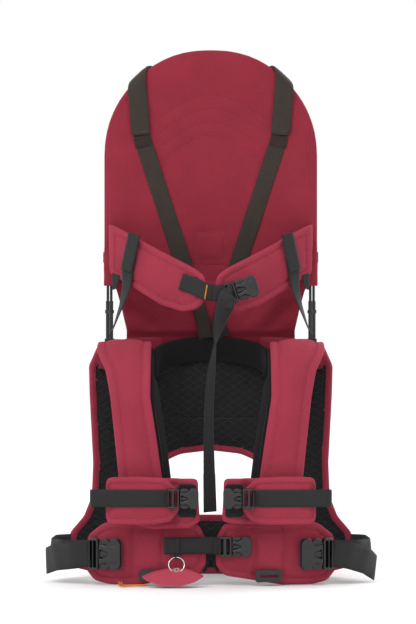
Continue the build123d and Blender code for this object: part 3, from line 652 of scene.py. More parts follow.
def webbing_strip(name, material, route, width, thick=1.6, step=5, smooth=18):
    """Flat webbing along a route. A place may come with the way its face looks and its own width."""
    route = [place if isinstance(place[0], tuple) else (place, FORWARDS) for place in route]
    stations = [place[0] for place in route]
    path = trail(stations, smooth, step)
    run, along_run = run_along(np.array(stations, float)), run_along(path)
    along_run *= run[-1] / along_run[-1]
    looks = np.array([place[1] for place in route], float)
    widths = np.array([place[2] if len(place) > 2 else width for place in route], float)
    sections, flat = [], []
    for number, centre in enumerate(path):
        along = heading(path, number)
        look = Vector([np.interp(along_run[number], run, column) for column in looks.T])
        look = (look - along * look.dot(along)).normalized()
        across = along.cross(look).normalized()
        half = np.interp(along_run[number], run, widths) / 2
        section = []
        for side, order in ((1, 1), (-1, -1)):
            for share in np.linspace(-1, 1, STRAP_COLUMNS + 1)[::order]:
                over = look * side * thick * (0.35 if abs(share) == 1 else 0.5)
                section.append(at(*(Vector(centre) + across * half * share + over)))
                flat.append((half * share * MM, along_run[number] * MM + (0 if side > 0 else UV_BACK)))
        sections.append(section)
    return swept(name, sections, material, flat)


def piping(name, material, places, radius):
    """Round cord or piping through close places in metres."""
    sections, flat = [], []
    reach = 0
    for number, place in enumerate(places):
        along = heading(places, number)
        side = along.orthogonal() if number == 0 else side - along * side.dot(along)
        side.normalize()
        up = along.cross(side)
        reach += (place - places[number - 1]).length if number else 0
        ring = []
        for turn in np.linspace(0, 2 * pi, 8, endpoint=False):
            ring.append(place + (side * cos(turn) + up * sin(turn)) * radius * MM)
            flat.append((turn * radius * MM, reach))
        sections.append(ring)
    return swept(name, sections, material, flat)


def rides(piece, body, slot, *nodes):
    """The usual endings of a piece: its body and the CAD nodes that it stands for. The slot, which names its
    finish, is not used.
    """
    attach(piece, body)
    if nodes:
        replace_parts(piece, *nodes)
    return piece


def black_strap(name, body, route, width, *nodes, **form):
    """Black webbing along a route, riding on a body."""
    return rides(webbing_strip(name, BLACK_WEB, route, width, **form), body, "black_webbing", *nodes)


def wrinkle(x, z, size, height, seed=0.0):
    """Smooth unevenness of hand-sewn fabric."""
    return height * noise.noise(Vector((x / size, z / size, seed)))


def mirrored(side, points):
    """Outline on the left or right, given for the right hand side."""
    return [(side * x, z) for x, z in points]


def both_sides(right):
    """Outline's right half, joined to its mirror image."""
    return right + mirrored(-1, reversed(right))


def arched(centre, radius, way):
    """Middle of an upright curved layer that faces forwards: way 1 for the back, -1 for the front."""
    def surface(x, z):
        depth = sqrt(radius ** 2 - x ** 2)
        return Vector((x, centre + way * depth, z)), Vector((-way * x, -depth, 0)) / radius
    return surface


def upright(depth):
    """Plane that faces forwards at a depth."""
    return lambda x, z: (Vector((x, depth, z)), Vector(FORWARDS))


# ---- vest ---------------------------------------------------------------------------------------
BACK_CENTRE = -303
BACK_MIDDLE = 395
YOKE_MIDDLE = 401
SEAM = 9


def diamonds(width, height, depth, low):
    """Relief of a quilted lattice above a height."""
    def relief(x, z):
        if z < low:
            return wrinkle(x, z, 22, 0.8)
        first = abs((x / width + z / height) % 1 - 0.5)
        second = abs((x / width - z / height) % 1 - 0.5)
        line = (0.5 - max(first, second)) * width
        return -depth * exp(-(line / 2.4) ** 2) + wrinkle(x, z, 30, 0.8)
    return relief


def vest_back():
    """Back of the vest: mesh on the wearer's side, canvas outside, bound all round."""
    right = [(150, 0), (198, 14), (206, 46), (203, 66), (184, 88), (173, 116), (171, 165), (176, 265),
             (177, 306), (165, 334), (156.5, 336), (156.5, 308), (134, 307), (104, 324)]
    edge = rounded(both_sides(right), [14] * 8 + [10, 3, 3, 3, 3, 9] * 2 + [14] * 8)
    arch = [(91, 140), (64, 167), (44, 176), (0, 181)]
    window = rounded([(-84, 87), (84, 87), (93, 100)] + arch + mirrored(-1, arch[-2::-1]) + [(-93, 100)],
                     [12, 12, 20, 24, 30, 40, 60, 40, 30, 24, 20])
    face = [(0, 0), (0.9, 2.4), (3.5, 3.3), (7.5, 3.1), (SEAM, 1.9), (12, 4.0), (24, 7.2)]
    outside = [(0, 0), (0.9, 2.4), (3.5, 3.3), (7.5, 3.1), (SEAM, 2.1), (12, 4.5), (24, 8)]
    yoke = [(-150, 222), (-60, 228), (60, 228), (150, 222)]
    belt_top = [[(side * 96, 80), (side * 172, 80)] for side, hand in SIDES]
    panel = Panel("vest_back", [MESH, CANVAS, BINDING], edge, arched(BACK_CENTRE, BACK_MIDDLE, 1), face,
                  outside, cell=5, seams=[yoke] + belt_top, windows=[window], band=SEAM,
                  relief=diamonds(QUILT_WIDTH, QUILT_HEIGHT, 1.6, 88))
    panel.puff(3.5, 3)
    rides(panel.piece, "vest", "black_mesh", "back_pad", "back_wings", "hip_belt")
    for loop in panel.loops:
        for behind in (False, True):
            for way in (-1, 1):
                row = moved_in(loop, way * (SEAM - 0.6))
                if len(panel.clear(row, SEAM - 1.2, 0)) > len(row) / 2:
                    panel.sew("vest", THREAD, [row], behind)
    panel.sew("vest", BLACK_THREAD, panel.lines)
    panel.sew("vest", THREAD, panel.lines, True)


vest_back()


def yoke():
    """Burgundy yoke behind the neck roll, where the seat cloth is sewn on."""
    right = [(133, 300), (135, 330), (128, 345), (60, 349)]
    rim = [(0, 0), (0.6, 1.6), (3, 2.4), (8, 2.2)]
    panel = Panel("neck_yoke", [CANVAS, CANVAS, BINDING], rounded(both_sides(right), 10),
                  arched(BACK_CENTRE, YOKE_MIDDLE, 1), rim, rim, cell=5, band=8,
                  relief=lambda x, z: wrinkle(x, z, 24, 0.7, 9))
    rides(panel.piece, "vest", "burgundy_canvas")
    panel.sew("vest", THREAD, [spaced([(-126, 341), (126, 341)], 4, False)], True)


yoke()

ARCH_Y = -2
ARCH_Z = 245
PAD_BOTTOM = 92
PAD_RADIUS = 93
LINING_RADIUS = 79
FRONT_RUN = ARCH_Z - PAD_BOTTOM


def shoulder_surface(radius):
    """Middle of a shoulder layer: up the chest, over the shoulder and down the back, by length along it."""
    def surface(x, run):
        if run < FRONT_RUN:
            return Vector((x, ARCH_Y - radius, PAD_BOTTOM + run)), Vector(FORWARDS)
        turn = (run - FRONT_RUN) / radius
        facing = Vector((0, -cos(turn), sin(turn)))
        return Vector((x, ARCH_Y, ARCH_Z)) + facing * radius, facing
    return surface


def shoulder_pad(side, hand):
    """Padded shoulder strap, stitched inside its outer edge."""
    outline = [(62, 0), (68, 58), (75, 107), (85, 172), (84, 388), (138, 388), (139, 374), (157, 352),
               (162, 326), (162, 258), (156, 234), (149, 217), (141, 172), (134, 107), (129, 58), (127, 0)]
    outside = [(0, 0), (0.8, 2.2), (3, 3.4), (9, 3.4), (11.5, 2.2), (15, 5), (26, 7)]
    inside = [(0, 0), (0.6, 3), (2, 5.2), (8, 6.2), (24, 6.6)]
    seam_run = [(120, 4), (122, 58), (127, 107), (134, 172), (141, 214), (151, 250), (153, 330)]
    panel = Panel(f"shoulder_pad_{hand}_cover", [CANVAS, BLACK_CLOTH, BINDING],
                  rounded(mirrored(side, outline), 10), shoulder_surface(PAD_RADIUS), outside, inside, cell=5,
                  band=11, relief=lambda x, z: wrinkle(x, z, 40, 1.3, side) + wrinkle(x * 3, z, 60, 0.7))
    panel.puff(3, 4)
    rides(panel.piece, "vest", "burgundy_canvas", f"shoulder_pad_{hand}")
    row = trail(mirrored(side, seam_run), 20, 4)
    panel.sew("vest", THREAD, [row - [(side * 3.5, 0)], row])


def shoulder_lining(side, hand):
    """Black lining under a shoulder strap, showing beside the neck."""
    outline = [(51, 0), (56, 58), (62, 107), (71, 168), (74, 190), (80, 205), (81, 366), (137, 366),
               (138, 325), (155, 305), (157, 245), (151, 218), (142, 200), (137, 173), (126, 107), (121, 58),
               (118, 0)]
    profile = [(0, 0), (0.8, 2.2), (3, 3.6), (10, 4)]
    joined = [(0, 0), (0.6, 4), (2, 7), (6, 7.6)]
    panel = Panel(f"shoulder_lining_{hand}", [BLACK_CLOTH, MESH, BLACK_CLOTH],
                  rounded(mirrored(side, outline), 8), shoulder_surface(LINING_RADIUS), joined, profile,
                  cell=5, relief=lambda x, run: wrinkle(x, run, 16, 0.7, 4 + side))
    rides(panel.piece, "vest", "black_mesh")
    seam_run = [(60, 8), (65, 58), (71, 107), (79, 160)]
    panel.sew("vest", BLACK_THREAD, [trail(mirrored(side, seam_run), 20, 4)])
    return panel.piece


linings = []
for side, hand in SIDES:
    shoulder_pad(side, hand)
    linings.append(shoulder_lining(side, hand))
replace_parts(linings[0], "shoulder_linings")

ROLL_HALF = 79
ROLL_BACK = (87, 329)
ROLL_DIP = radians(13.7)
ROLL_ARM = 42
ROLL_HALF_THICK = 6.2
ROLL_HALF_TALL = 19.5


def neck_roll():
    """Horseshoe roll behind the neck: padded, with a sewn seam below its fat upper edge."""
    across = Vector((1, 0, 0))
    along = Vector((0, cos(ROLL_DIP), sin(ROLL_DIP)))
    rise = across.cross(along)
    stations = [(-ROLL_HALF, -ROLL_HALF - ROLL_ARM * (1 - share), -1, 0) for share in np.linspace(0, 1, 10)]
    for turn in np.linspace(pi, 0, 46)[1:-1]:
        stations.append((ROLL_HALF * cos(turn), ROLL_HALF * (sin(turn) - 1), cos(turn), sin(turn)))
    stations += [(ROLL_HALF, -ROLL_HALF - ROLL_ARM * share, 1, 0) for share in np.linspace(0, 1, 10)]
    sections, flat = [], []
    for number, (a, b, out_a, out_b) in enumerate(stations):
        centre = Vector((0, ROLL_BACK[0], ROLL_BACK[1])) + across * a + along * b
        out = across * out_a + along * out_b
        end = min(number, len(stations) - 1 - number) / 9
        fullness = min(1, 0.35 + 0.65 * sqrt(min(1, end)))
        section = []
        for turn in np.linspace(0, 2 * pi, 32, endpoint=False):
            height = sin(turn)
            thick = abs(cos(turn)) ** 0.75 * (1 if cos(turn) > 0 else -1)
            waist = 1 - 0.35 * exp(-((height + 0.35) / 0.16) ** 2)
            lump = 1 + 0.10 * noise.noise(Vector((number * 0.34, turn * 1.2, 2)))
            sideways = out * thick * ROLL_HALF_THICK * waist * lump * fullness
            section.append(at(*(centre + sideways + rise * (height * ROLL_HALF_TALL * fullness))))
            flat.append((turn * 0.012, number * 0.0055))
        sections.append(section)
    roll = swept("neck_roll_cover", sections, BLACK_CLOTH, flat)
    rides(roll, "vest", "black_mesh", "neck_roll")


neck_roll()

FLAP_CENTRE = 428
FLAP_MIDDLE = 519
flap_surface = arched(FLAP_CENTRE, FLAP_MIDDLE, -1)
CHANNELS = {"left": (66, 109), "right": (60, 101)}


def front_flap(side, hand):
    """Front flap with sewn channels and a double stitched hem."""
    outline = [(134, 90), (152, 86), (172, 70), (180, 46), (176, 20), (164, 5), (144, 0.5), (99, 0.5),
               (57, 8), (20, 14), (6, 28), (5.5, 66), (16, 88)]
    outside = [(0, 0), (0.9, 3), (3, 4.6), (8, 5), (10, 4.2), (15, 7.6), (28, 10.4)]
    inside = [(0, 0), (0.9, 3), (4, 5), (12, 8), (28, 10)]
    seams = [mirrored(side, [(x, 13), (x + 2, 50), (x - 1, 84)]) for x in CHANNELS[hand]]
    panel = Panel(f"front_flap_{hand}_cover", [CANVAS, MESH, BINDING], rounded(mirrored(side, outline), 14),
                  flap_surface, outside, inside, cell=4.5, seams=seams, band=8, groove=2.6,
                  relief=lambda x, z: wrinkle(x, z, 26, 1.4, side) + wrinkle(x * 2, z * 0.6, 18, 0.7))
    panel.puff(4.5, 5)
    rides(panel.piece, "vest", "burgundy_canvas", f"front_flap_{hand}")
    panel.sew("vest", THREAD, panel.lines + [panel.hem(9)])
    inner_edge = trail(mirrored(side, [(60, 90), (17, 90), (5, 66), (4.4, 30), (10, 20)]), 6, 4)
    brim = [at(*(flap_surface(x, z)[0] + flap_surface(x, z)[1] * 2)) for x, z in inner_edge]
    rides(piping(f"front_flap_{hand}_piping", BLACK_CLOTH, brim, 2.2), "vest", "black_mesh")


for side, hand in SIDES:
    front_flap(side, hand)

# ---- cuffs --------------------------------------------------------------------------------------
CUFF_LOW = 88
CUFF_HIGH = 153
CUFF_BEND = (134, -116)
CUFF_ROUND = 10
CUFF_BACK = -108
TAPE_PROUD = 11


def cuff_base_surface(side):
    """Back layer of a cuff: thin under the flap and proud where the hook tape sits."""
    def surface(x, z):
        reach = min(1, max(0, (50 - abs(x)) / 9))
        step = reach * reach * (3 - 2 * reach)
        return Vector((x, CUFF_BACK - TAPE_PROUD * step, z)), Vector(FORWARDS)
    return surface


def cuff_flap_surface(side):
    """Front layer of a cuff, which wraps round its outer end."""
    def surface(reach, z):
        over = abs(reach) - CUFF_BEND[0]
        if over < 0:
            return Vector((reach, CUFF_BEND[1] - CUFF_ROUND, z)), Vector(FORWARDS)
        turn = over / CUFF_ROUND
        facing = Vector((side * sin(turn), -cos(turn), 0))
        return Vector((side * CUFF_BEND[0], CUFF_BEND[1], z)) + facing * CUFF_ROUND, facing
    return surface


def cuff(side, hand):
    """Ankle cuff: base, flap, hook tape and strap with its folded end."""
    low_edge = 80 if side < 0 else 86
    base_line = [(122, 152), (18, 152), (17, 120), (15, 92), (30, low_edge + 3), (80, low_edge), (122, 91)]
    base_face = [(0, 0), (0.8, 1.8), (3, 2.8), (7, 2.8), (8, 2), (12, 3.6)]
    base = Panel(f"cuff_base_{hand}", [CANVAS, CANVAS, BINDING], rounded(mirrored(side, base_line), 7),
                 cuff_base_surface(side), base_face, base_face, cell=4.5, band=7,
                 relief=lambda x, z: wrinkle(x, z, 20, 0.7, side))
    rides(base.piece, "vest", "burgundy_canvas")
    base.sew("vest", THREAD, [base.hem(7.4)])
    flap_line = [(149, 154), (100, 155), (62, 153), (44, 134), (43, 110), (56, 92), (80, 88), (149, 89)]
    flap_face = [(0, 0), (0.8, 2), (3, 3.2), (7, 3.2), (8.2, 2.2), (12, 4), (20, 4.9)]
    flap = Panel(f"cuff_flap_{hand}_cover", [CANVAS, CANVAS, BINDING], rounded(mirrored(side, flap_line), 14),
                 cuff_flap_surface(side), flap_face, flap_face, cell=4.5, band=7,
                 relief=lambda x, z: wrinkle(x, z, 24, 1.0, 2 + side))
    flap.puff(2.5, 4)
    rides(flap.piece, f"cuff_{hand}", "burgundy_canvas", f"cuff_flap_{hand}")
    flap.sew(f"cuff_{hand}", THREAD, [flap.hem(7.6)])
    tape_line = [(20, 98), (46, 98), (46, 144), (20, 144)]
    tape_rim = [(0, 0), (0.5, 0.8), (2, 1)]
    tape = Panel(f"cuff_hook_tape_{hand}", [BLACK_HOOK] * 3, rounded(mirrored(side, tape_line), 3),
                 lambda x, z: (cuff_base_surface(side)(x, z)[0] + Vector((0, -4.2, 0)), Vector(FORWARDS)),
                 tape_rim, tape_rim, cell=4, relief=lambda x, z: wrinkle(x, z, 4, 0.3))
    rides(tape.piece, "vest", "black_webbing")
    front, outer = CUFF_BEND[1] - 16.6, CUFF_BEND[0] + 33
    height = (CUFF_LOW + CUFF_HIGH) / 2 + 4.5
    route = [(side * 57, front, height), (side * 100, front - 0.3, height),
             ((side * outer, front, height), (side * 0.3, -1, 0)),
             ((side * (outer + 1), front + 8, height), (side, -0.2, 0)),
             ((side * (outer - 4), front + 14, height), (side * 0.2, 1, 0)),
             ((side * (outer - 22), front + 14, height), (0, 1, 0))]
    black_strap(f"cuff_strap_{hand}_webbing", f"cuff_{hand}", route, 24, f"cuff_strap_{hand}", smooth=7,
                step=4)
    return base.piece


bases = [cuff(side, hand) for side, hand in SIDES]
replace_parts(bases[0], "cuff_pads")

# ---- webbing on the vest ------------------------------------------------------------------------
def chest_strap():
    """Chest strap from its sewn end to the ladder of its clip."""
    lift = -103.5
    route = [(-64, lift + 0.3, 57), (-40, lift, 57), (-14, lift, 57.5), (12, lift + 0.2, 57)]
    black_strap("chest_strap_webbing", "vest", route, 24, "chest_strap", thick=1.3, step=3)
    entry = [(5, lift - 2.9, 57), (15, lift - 3.5, 56.6), (26, lift - 4, 56)]
    black_strap("chest_strap_entry", "chest_clip", entry, 24, step=3, smooth=8)
    black_strap("chest_strap_sewn_end", "vest", [(-66, lift - 1.8, 57), (-44, lift - 1.8, 57)], 24)
    for x in (-63, -47):
        row = [(at(x, lift - 2.8, 46.5 + 21 * share), Vector(FORWARDS)) for share in np.linspace(0, 1, 6)]
        stitching.sew("vest", BLACK_THREAD, row, 2.6, 2.0)


chest_strap()

# ---- side release buckles -----------------------------------------------------------------------
SHELL_WALL = 1.8


def moulding(name, place, outline, low, high, windows=(), relief=None):
    """Moulded plate between two heights over a buckle's plane, with rounded edges."""
    origin, along, across = place
    facing = along.cross(across)
    half = (high - low) / 2

    def surface(x, z):
        return origin + along * x + across * z + facing * (low + half), facing

    rim = [(0, 0), (0.15, 0.5 * half), (0.5, 0.84 * half), (1.1, half)]
    return Panel(name, [PLASTIC] * 3, outline, surface, rim, rim, cell=1.6, windows=windows, relief=relief,
                 fade=1.5).piece


def folded(points):
    """Outline given by its upper half, mirrored about a buckle's middle line."""
    return list(points) + [(x, -z) for x, z in reversed(points)]


def soft_step(value):
    """Soft step from 0 to 1 where a value passes zero."""
    return 1 / (1 + exp(-value))


def receiver(name, place, body, width, length, depth):
    """Shell of a buckle: two plates joined at its head, waisted where the prongs are pressed."""
    w, head = width / 2, length - 9
    waist = [(0, 0.66 * w), (0.14 * length, 0.60 * w), (0.34 * length, 0.54 * w), (0.48 * length, 0.74 * w),
             (0.58 * length, w), (0.84 * length, w), (length, 0.74 * w)]
    radii = [2] + [0.14 * w] * 3 + [0.24 * w] * 2 + [0.4 * w]
    shell = rounded(folded(waist), radii + radii[::-1])

    def dished(x, z):
        bowl = 1 - ((x - 0.66 * length) / length) ** 2 - (z / width) ** 2
        from_pad = sqrt((x - 0.7 * length) ** 2 * 0.35 + (abs(z) - 0.62 * w) ** 2)
        pads = soft_step((0.17 * w - from_pad) / 0.35)
        return 0.9 * bowl - 0.8 * pads

    mouth = rounded(folded([(1.6, 0.30 * w), (0.42 * length, 0.08 * w)]), 0.8)
    front = moulding(f"{name}_front", place, shell, depth - SHELL_WALL - 0.6, depth - 0.4, [mouth], dished)
    back = moulding(f"{name}_back", place, shell, 0, SHELL_WALL)
    block = rounded(folded([(head, 0.86 * w), (0.86 * length, 0.86 * w), (length - 1.5, 0.66 * w)]), 2)
    wall = moulding(f"{name}_head", place, block, SHELL_WALL - 0.3, depth - SHELL_WALL + 0.3)
    for piece in (front, back, wall):
        rides(piece, body, "buckle_plastic")
    return front


def clip(name, place, body, size):
    """Ladder frame with its two slots and ridged bar, and the blade that guides it into the shell."""
    width, length, base, depth = size
    w = width / 2
    ladder = rounded(folded([(-base - 0.3, 0.9 * w), (-base + 2, w), (-2, w), (-0.3, 0.84 * w)]),
                     [2] * 3 + [1.5] * 2 + [2] * 3)
    slots = [rounded(folded([(x - 1.6, w - 4), (x + 1.6, w - 4)]), 1.2) for x in (-base + 3.4, -6)]
    ridges = moulding(f"{name}_ladder", place, ladder, 0.2, depth - 0.6, slots,
                      lambda x, z: 0.45 * cos(2 * pi * x / 2.6) + 0.5)
    reach = length - 13
    tongue = rounded(folded([(-1, 0.24 * w), (reach * 0.6, 0.2 * w), (reach, 0.1 * w)]), 1)
    blade = moulding(f"{name}_blade", place, tongue, SHELL_WALL + 0.3, depth - SHELL_WALL - 0.9)
    rides(ridges, body, "buckle_plastic")
    rides(blade, body, "buckle_plastic")
    return ridges


def prong(name, place, body, width, length, depth, hand):
    """Sprung arm with the rounded button that is pressed."""
    w = width / 2
    arm = [(-1, 0.56 * w), (0.16 * length, 0.5 * w), (0.4 * length, 0.52 * w), (0.5 * length, 0.66 * w),
           (0.47 * length, 0.86 * w), (0.32 * length, 0.99 * w), (0.14 * length, 0.98 * w),
           (0.02 * length, 0.84 * w), (-1, 0.8 * w)]
    button = moulding(name, place, rounded([(x, hand * z) for x, z in arm], 0.12 * w), SHELL_WALL + 0.2,
                      depth - SHELL_WALL - 1.1, relief=lambda x, z: 0.3 * cos(2 * pi * x / 1.9))
    return rides(button, body, "buckle_plastic")


def turned(origin, along, across):
    """A buckle's plane: where its mouth is, towards its head, and across it."""
    return Vector(origin), Vector(along), Vector(across)


HIP_HEIGHT = 44
HIP_MOUTH = 154
HIP_RADIUS = 530


def hip_place(side):
    """Plane of a hip buckle on the curved front flap."""
    lean = side * HIP_MOUTH / HIP_RADIUS
    level = sqrt(1 - lean ** 2)
    spot = Vector((side * HIP_MOUTH, FLAP_CENTRE - HIP_RADIUS * level, HIP_HEIGHT))
    spot += Vector((lean, -level, 0)) * 2.6
    along = Vector((-side * level, -side * lean, 0))
    return spot, along, Vector((lean, -level, 0)).cross(along)


# Each buckle's width, its receiver's length, its ladder's length and its depth.
HIP_SIZE = (45, 32, 15, 11)
CHEST_SIZE = (29, 27, 18, 9)
BELT_SIZE = (31, 31, 16, 9)
CUFF_SIZE = (29, 26, 17, 9)
BELT_TILT = radians(17)
BELT_LEVEL, BELT_RISE = cos(BELT_TILT), sin(BELT_TILT)
CHEST_PLACE = turned((30, -104.9, 56), (1, 0, 0), (0, 0, 1))
BELT_PLACE = turned((37, -31.5, 414), (BELT_LEVEL, 0, BELT_RISE), (-BELT_RISE, 0, BELT_LEVEL))


def buckle(stem, shell, holder, place, size, sprung):
    """Receiver, clip and two prongs of a buckle. Sprung prongs are bodies of their own."""
    width, length, base, depth = size
    front = receiver(f"{stem}_{shell}", place, holder, width, length, depth)
    body = f"{stem}_clip"
    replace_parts(clip(f"{body}_frame", place, body, size), body)
    for letter, way in (("a", 1), ("b", -1)):
        arm_body = f"{stem}_prong_{letter}" if sprung else body
        arm = prong(f"{stem}_arm_{letter}", place, arm_body, width, length, depth, way)
        if sprung:
            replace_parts(arm, arm_body)
    return front


def buckles():
    """Six buckles; hip and belt prongs are pieces of their own, the others are moulded with their clip."""
    fronts = []
    for side, hand in SIDES:
        cuff_place = turned((side * 43, -133.6, 125), (-side, 0, 0), (0, 0, -side))
        fronts.append((buckle(f"hip_{hand}", "receiver", "vest", hip_place(side), HIP_SIZE, True),
                       buckle(f"cuff_{hand}", "receiver", "vest", cuff_place, CUFF_SIZE, False)))
    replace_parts(fronts[0][0], "hip_receivers")
    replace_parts(fronts[0][1], "cuff_receivers")
    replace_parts(buckle("chest", "shell", "vest", CHEST_PLACE, CHEST_SIZE, False), "chest_receiver")
    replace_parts(buckle("belt", "shell", "backrest", BELT_PLACE, BELT_SIZE, True), "belt_receiver")


buckles()


def hip_straps():
    """Hip webbing: round from the belt's end, forwards and back into the buckle, with its free tail."""
    pieces = []
    for side, hand in SIDES:
        route = [((side * 203, 33, HIP_HEIGHT), (side, 0.4, 0)),
                 ((side * 222, 8, HIP_HEIGHT + 1), (side, 0, 0)),
                 ((side * 230, -28, HIP_HEIGHT - 2), (side, 0, 0.1)),
                 ((side * 210, -62, HIP_HEIGHT - 1), (side * 0.5, -1, 0)),
                 ((side * 159, -79.8, HIP_HEIGHT), (side * 0.25, -1, 0))]
        pieces.append(black_strap(f"hip_strap_{hand}", "vest", route, 38, smooth=22))
        droop = 14 if side < 0 else 24
        tail = [((side * 170, -83.5, HIP_HEIGHT + 1), (side * 0.3, -1, 0)),
                ((side * 196, -76, HIP_HEIGHT - 3), (side * 0.5, -1, 0)),
                ((side * 220, -56, HIP_HEIGHT - droop / 2), (side * 0.8, -1, 0.1)),
                ((side * 234, -36, HIP_HEIGHT - droop), (side, -0.5, 0.1))]
        black_strap(f"hip_strap_tail_{hand}", f"hip_{hand}_clip", tail, 38, smooth=22)
    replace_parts(pieces[0], "hip_straps")


hip_straps()

# ---- trim ---------------------------------------------------------------------------------------
RING = (-48, -104.6, 30)
RING_RADIUS = 11
RING_TIP = radians(24)
RING_TURNS = 1.9


def split_ring():
    """Two turns of nickelled wire, tipped so that the tag hangs in front."""
    places = []
    for turn in 2 * pi * np.linspace(0, RING_TURNS, 76):
        x, up = RING_RADIUS * sin(turn), RING_RADIUS * cos(turn)
        layer = (turn / (2 * pi) - RING_TURNS / 2) * 1.5
        places.append(at(RING[0] + x, RING[1] - (RING_RADIUS - up) * sin(RING_TIP) + layer,
                         RING[2] + RING_RADIUS - (RING_RADIUS - up) * cos(RING_TIP)))
    rides(piping("split_ring_wire", STEEL, places, 0.8), "vest", "steel", "split_ring")
    loop = [(RING[0], -101, 47), (RING[0], -102.6, 41), ((RING[0], -106.2, 38.5), (0, -0.5, -1)),
            ((RING[0], -105.4, 43), (0, 1, -0.3)), ((RING[0], -103.4, 47), (0, 1, 0))]
    black_strap("ring_loop_webbing", "vest", loop, 9, "ring_loop", thick=1.1, step=2, smooth=3)


split_ring()

TAG_DEPTH = -112
TAG_PIVOT = Vector((RING[0], TAG_DEPTH, RING[2] - 8))
TAG_LEAN = radians(48)


def tag():
    """Leaf-shaped tag with a stitched rim and a rivet at its stem."""
    facing = Vector((0, -cos(TAG_LEAN), sin(TAG_LEAN)))
    upward = Vector((0, sin(TAG_LEAN), cos(TAG_LEAN)))

    def surface(x, run):
        bend = 0.0009 * x * x
        return TAG_PIVOT + Vector((x, 0, 0)) + upward * run + facing * (1 + bend), facing

    leaf = [(-50, -13), (-30, -1), (-10, 5), (4, 6), (18, 2), (40, -11), (26, -22), (6, -29), (-18, -29),
            (-38, -23)]
    rim = [(0, 0), (0.4, 0.7), (2, 1.0), (5, 0.9)]
    panel = Panel("tag_leaf", [LEATHER] * 3, rounded(leaf, [3, 26, 26, 12, 26, 3, 26, 26, 26, 26]), surface,
                  rim, rim, cell=3.5)
    rides(panel.piece, "tag", "burgundy_canvas", "tag")
    panel.sew("tag", THREAD, [panel.hem(2.6)], pitch=3.0, length=2.0, radius=0.3)


tag()

# ---- backrest -----------------------------------------------------------------------------------
BACKREST_MIDDLE = 90
REST_HALF = 156
REST_LOW = 424
REST_SHOULDER = 676
REST_CROWN = 68
REST_TOP = 768


def backrest():
    """Backrest pad over its hoop, with quilted arches and a square patch."""
    right = [(REST_CROWN, REST_TOP), (REST_HALF, REST_SHOULDER), (REST_HALF, REST_LOW)]
    edge = rounded(mirrored(-1, reversed(right)) + right, [8, 155, 150, 150, 155, 8])
    arches = []
    for drop in (42, 62, 82, 102):
        half = 84 - drop * 0.12
        arches.append(rounded([(-half, 706 - drop), (0, 754 - drop), (half, 706 - drop)], 90, False))
    square = [(-21, 460), (21, 460), (21, 501), (-21, 501)]
    face = [(0, 0), (0.7, 3), (2.4, 5.2), (6, 6.4), (8, 5.6), (11, 7), (30, 7.6)]
    back = [(0, 0), (0.7, 3), (2.4, 5.2), (6, 6.6), (12, 7.6)]

    def relief(x, z):
        dish = -2.2 * max(0, 1 - (x / 150) ** 2) * max(0, 1 - ((z - 560) / 190) ** 2)
        folds = 1.3 * noise.noise(Vector((x / 90 + z / 60, z / 90 - x / 70, 3)))
        return dish + folds + wrinkle(x, z, 30, 0.6)

    seams = arches + [square + [square[0]], [(-27, 452), (27, 452)]]
    panel = Panel("backrest_cover", [REST_CANVAS] * 3, edge, upright(BACKREST_MIDDLE), face, back, cell=7,
                  seams=seams, relief=relief, groove=1.3)
    panel.puff(3, 2.5)
    rides(panel.piece, "backrest", "burgundy_canvas", "backrest_pad")
    side_rows = [[(side * (REST_HALF - 8), z) for z in np.arange(430, 700, 4)] for side, hand in SIDES]
    panel.sew("backrest", THREAD, panel.lines + side_rows)


backrest()


POCKET_TALL = 62
POCKET_AT = (147.6, 85.2)


def corner_pockets():
    """Fabric pockets over the rod sockets at the backrest's lower corners."""
    for side, hand in SIDES:
        sections, flat = [], []
        for share in np.linspace(0, 1, 16):
            height = REST_LOW - 1.5 + POCKET_TALL * share
            taper = max(0, share - 0.55) / 0.45
            half_wide, half_deep = 8.9 - 1.5 * taper, 16.6 - 8.4 * taper * (2 - taper)
            middle = Vector((side * (POCKET_AT[0] + taper), POCKET_AT[1] + 4.2 * taper, height))
            section = []
            for turn in np.linspace(0, 2 * pi, 28, endpoint=False):
                x, y = cos(turn), sin(turn)
                bulge = 1 + 0.05 * noise.noise(Vector((x * 2, y * 2, share * 6)))
                shape = Vector((abs(x) ** 0.45 * (1 if x > 0 else -1) * half_wide,
                                abs(y) ** 0.45 * (1 if y > 0 else -1) * half_deep, 0))
                section.append(at(*(middle + shape * bulge)))
                flat.append((turn * 0.012, share * 0.062))
            sections.append(section)
        rides(swept(f"rod_pocket_{hand}", sections, REST_CANVAS, flat), "backrest", "burgundy_canvas")


corner_pockets()

RIM_INSET = 8
RIM_PROUD = 3.6
RIM_RIGHT = [(REST_CROWN - RIM_INSET / 2, REST_TOP - RIM_INSET),
             (REST_HALF - RIM_INSET, REST_SHOULDER - RIM_INSET / 2), (REST_HALF - RIM_INSET, 300)]
RIM_LINE = trail(mirrored(-1, reversed(RIM_RIGHT)) + RIM_RIGHT, [8, 150, 145, 145, 150, 8], 2)


def rim_wrap(lift):
    """Surface that lies on the backrest's front and folds round its rim to the back."""
    radius = RIM_INSET + lift

    def surface(x, z):
        nearest = RIM_LINE[np.argmin(np.hypot(RIM_LINE[:, 0] - x, RIM_LINE[:, 1] - z))]
        away = Vector((x - nearest[0], 0, z - nearest[1]))
        over = away.length
        if over < 1e-6 or within([(x, z)], RIM_LINE)[0]:
            return Vector((x, BACKREST_MIDDLE - radius, z)), Vector(FORWARDS)
        out = away.normalized()
        turn = min(over / radius, pi)
        base = Vector((nearest[0], BACKREST_MIDDLE, nearest[1]))
        facing = Vector((0, -cos(turn), 0)) + out * sin(turn)
        proud = RIM_PROUD * max(0, turn / (pi / 2) - 1)
        return base + facing * (radius + proud) - out * max(0, over - pi * radius), facing.normalized()
    return surface


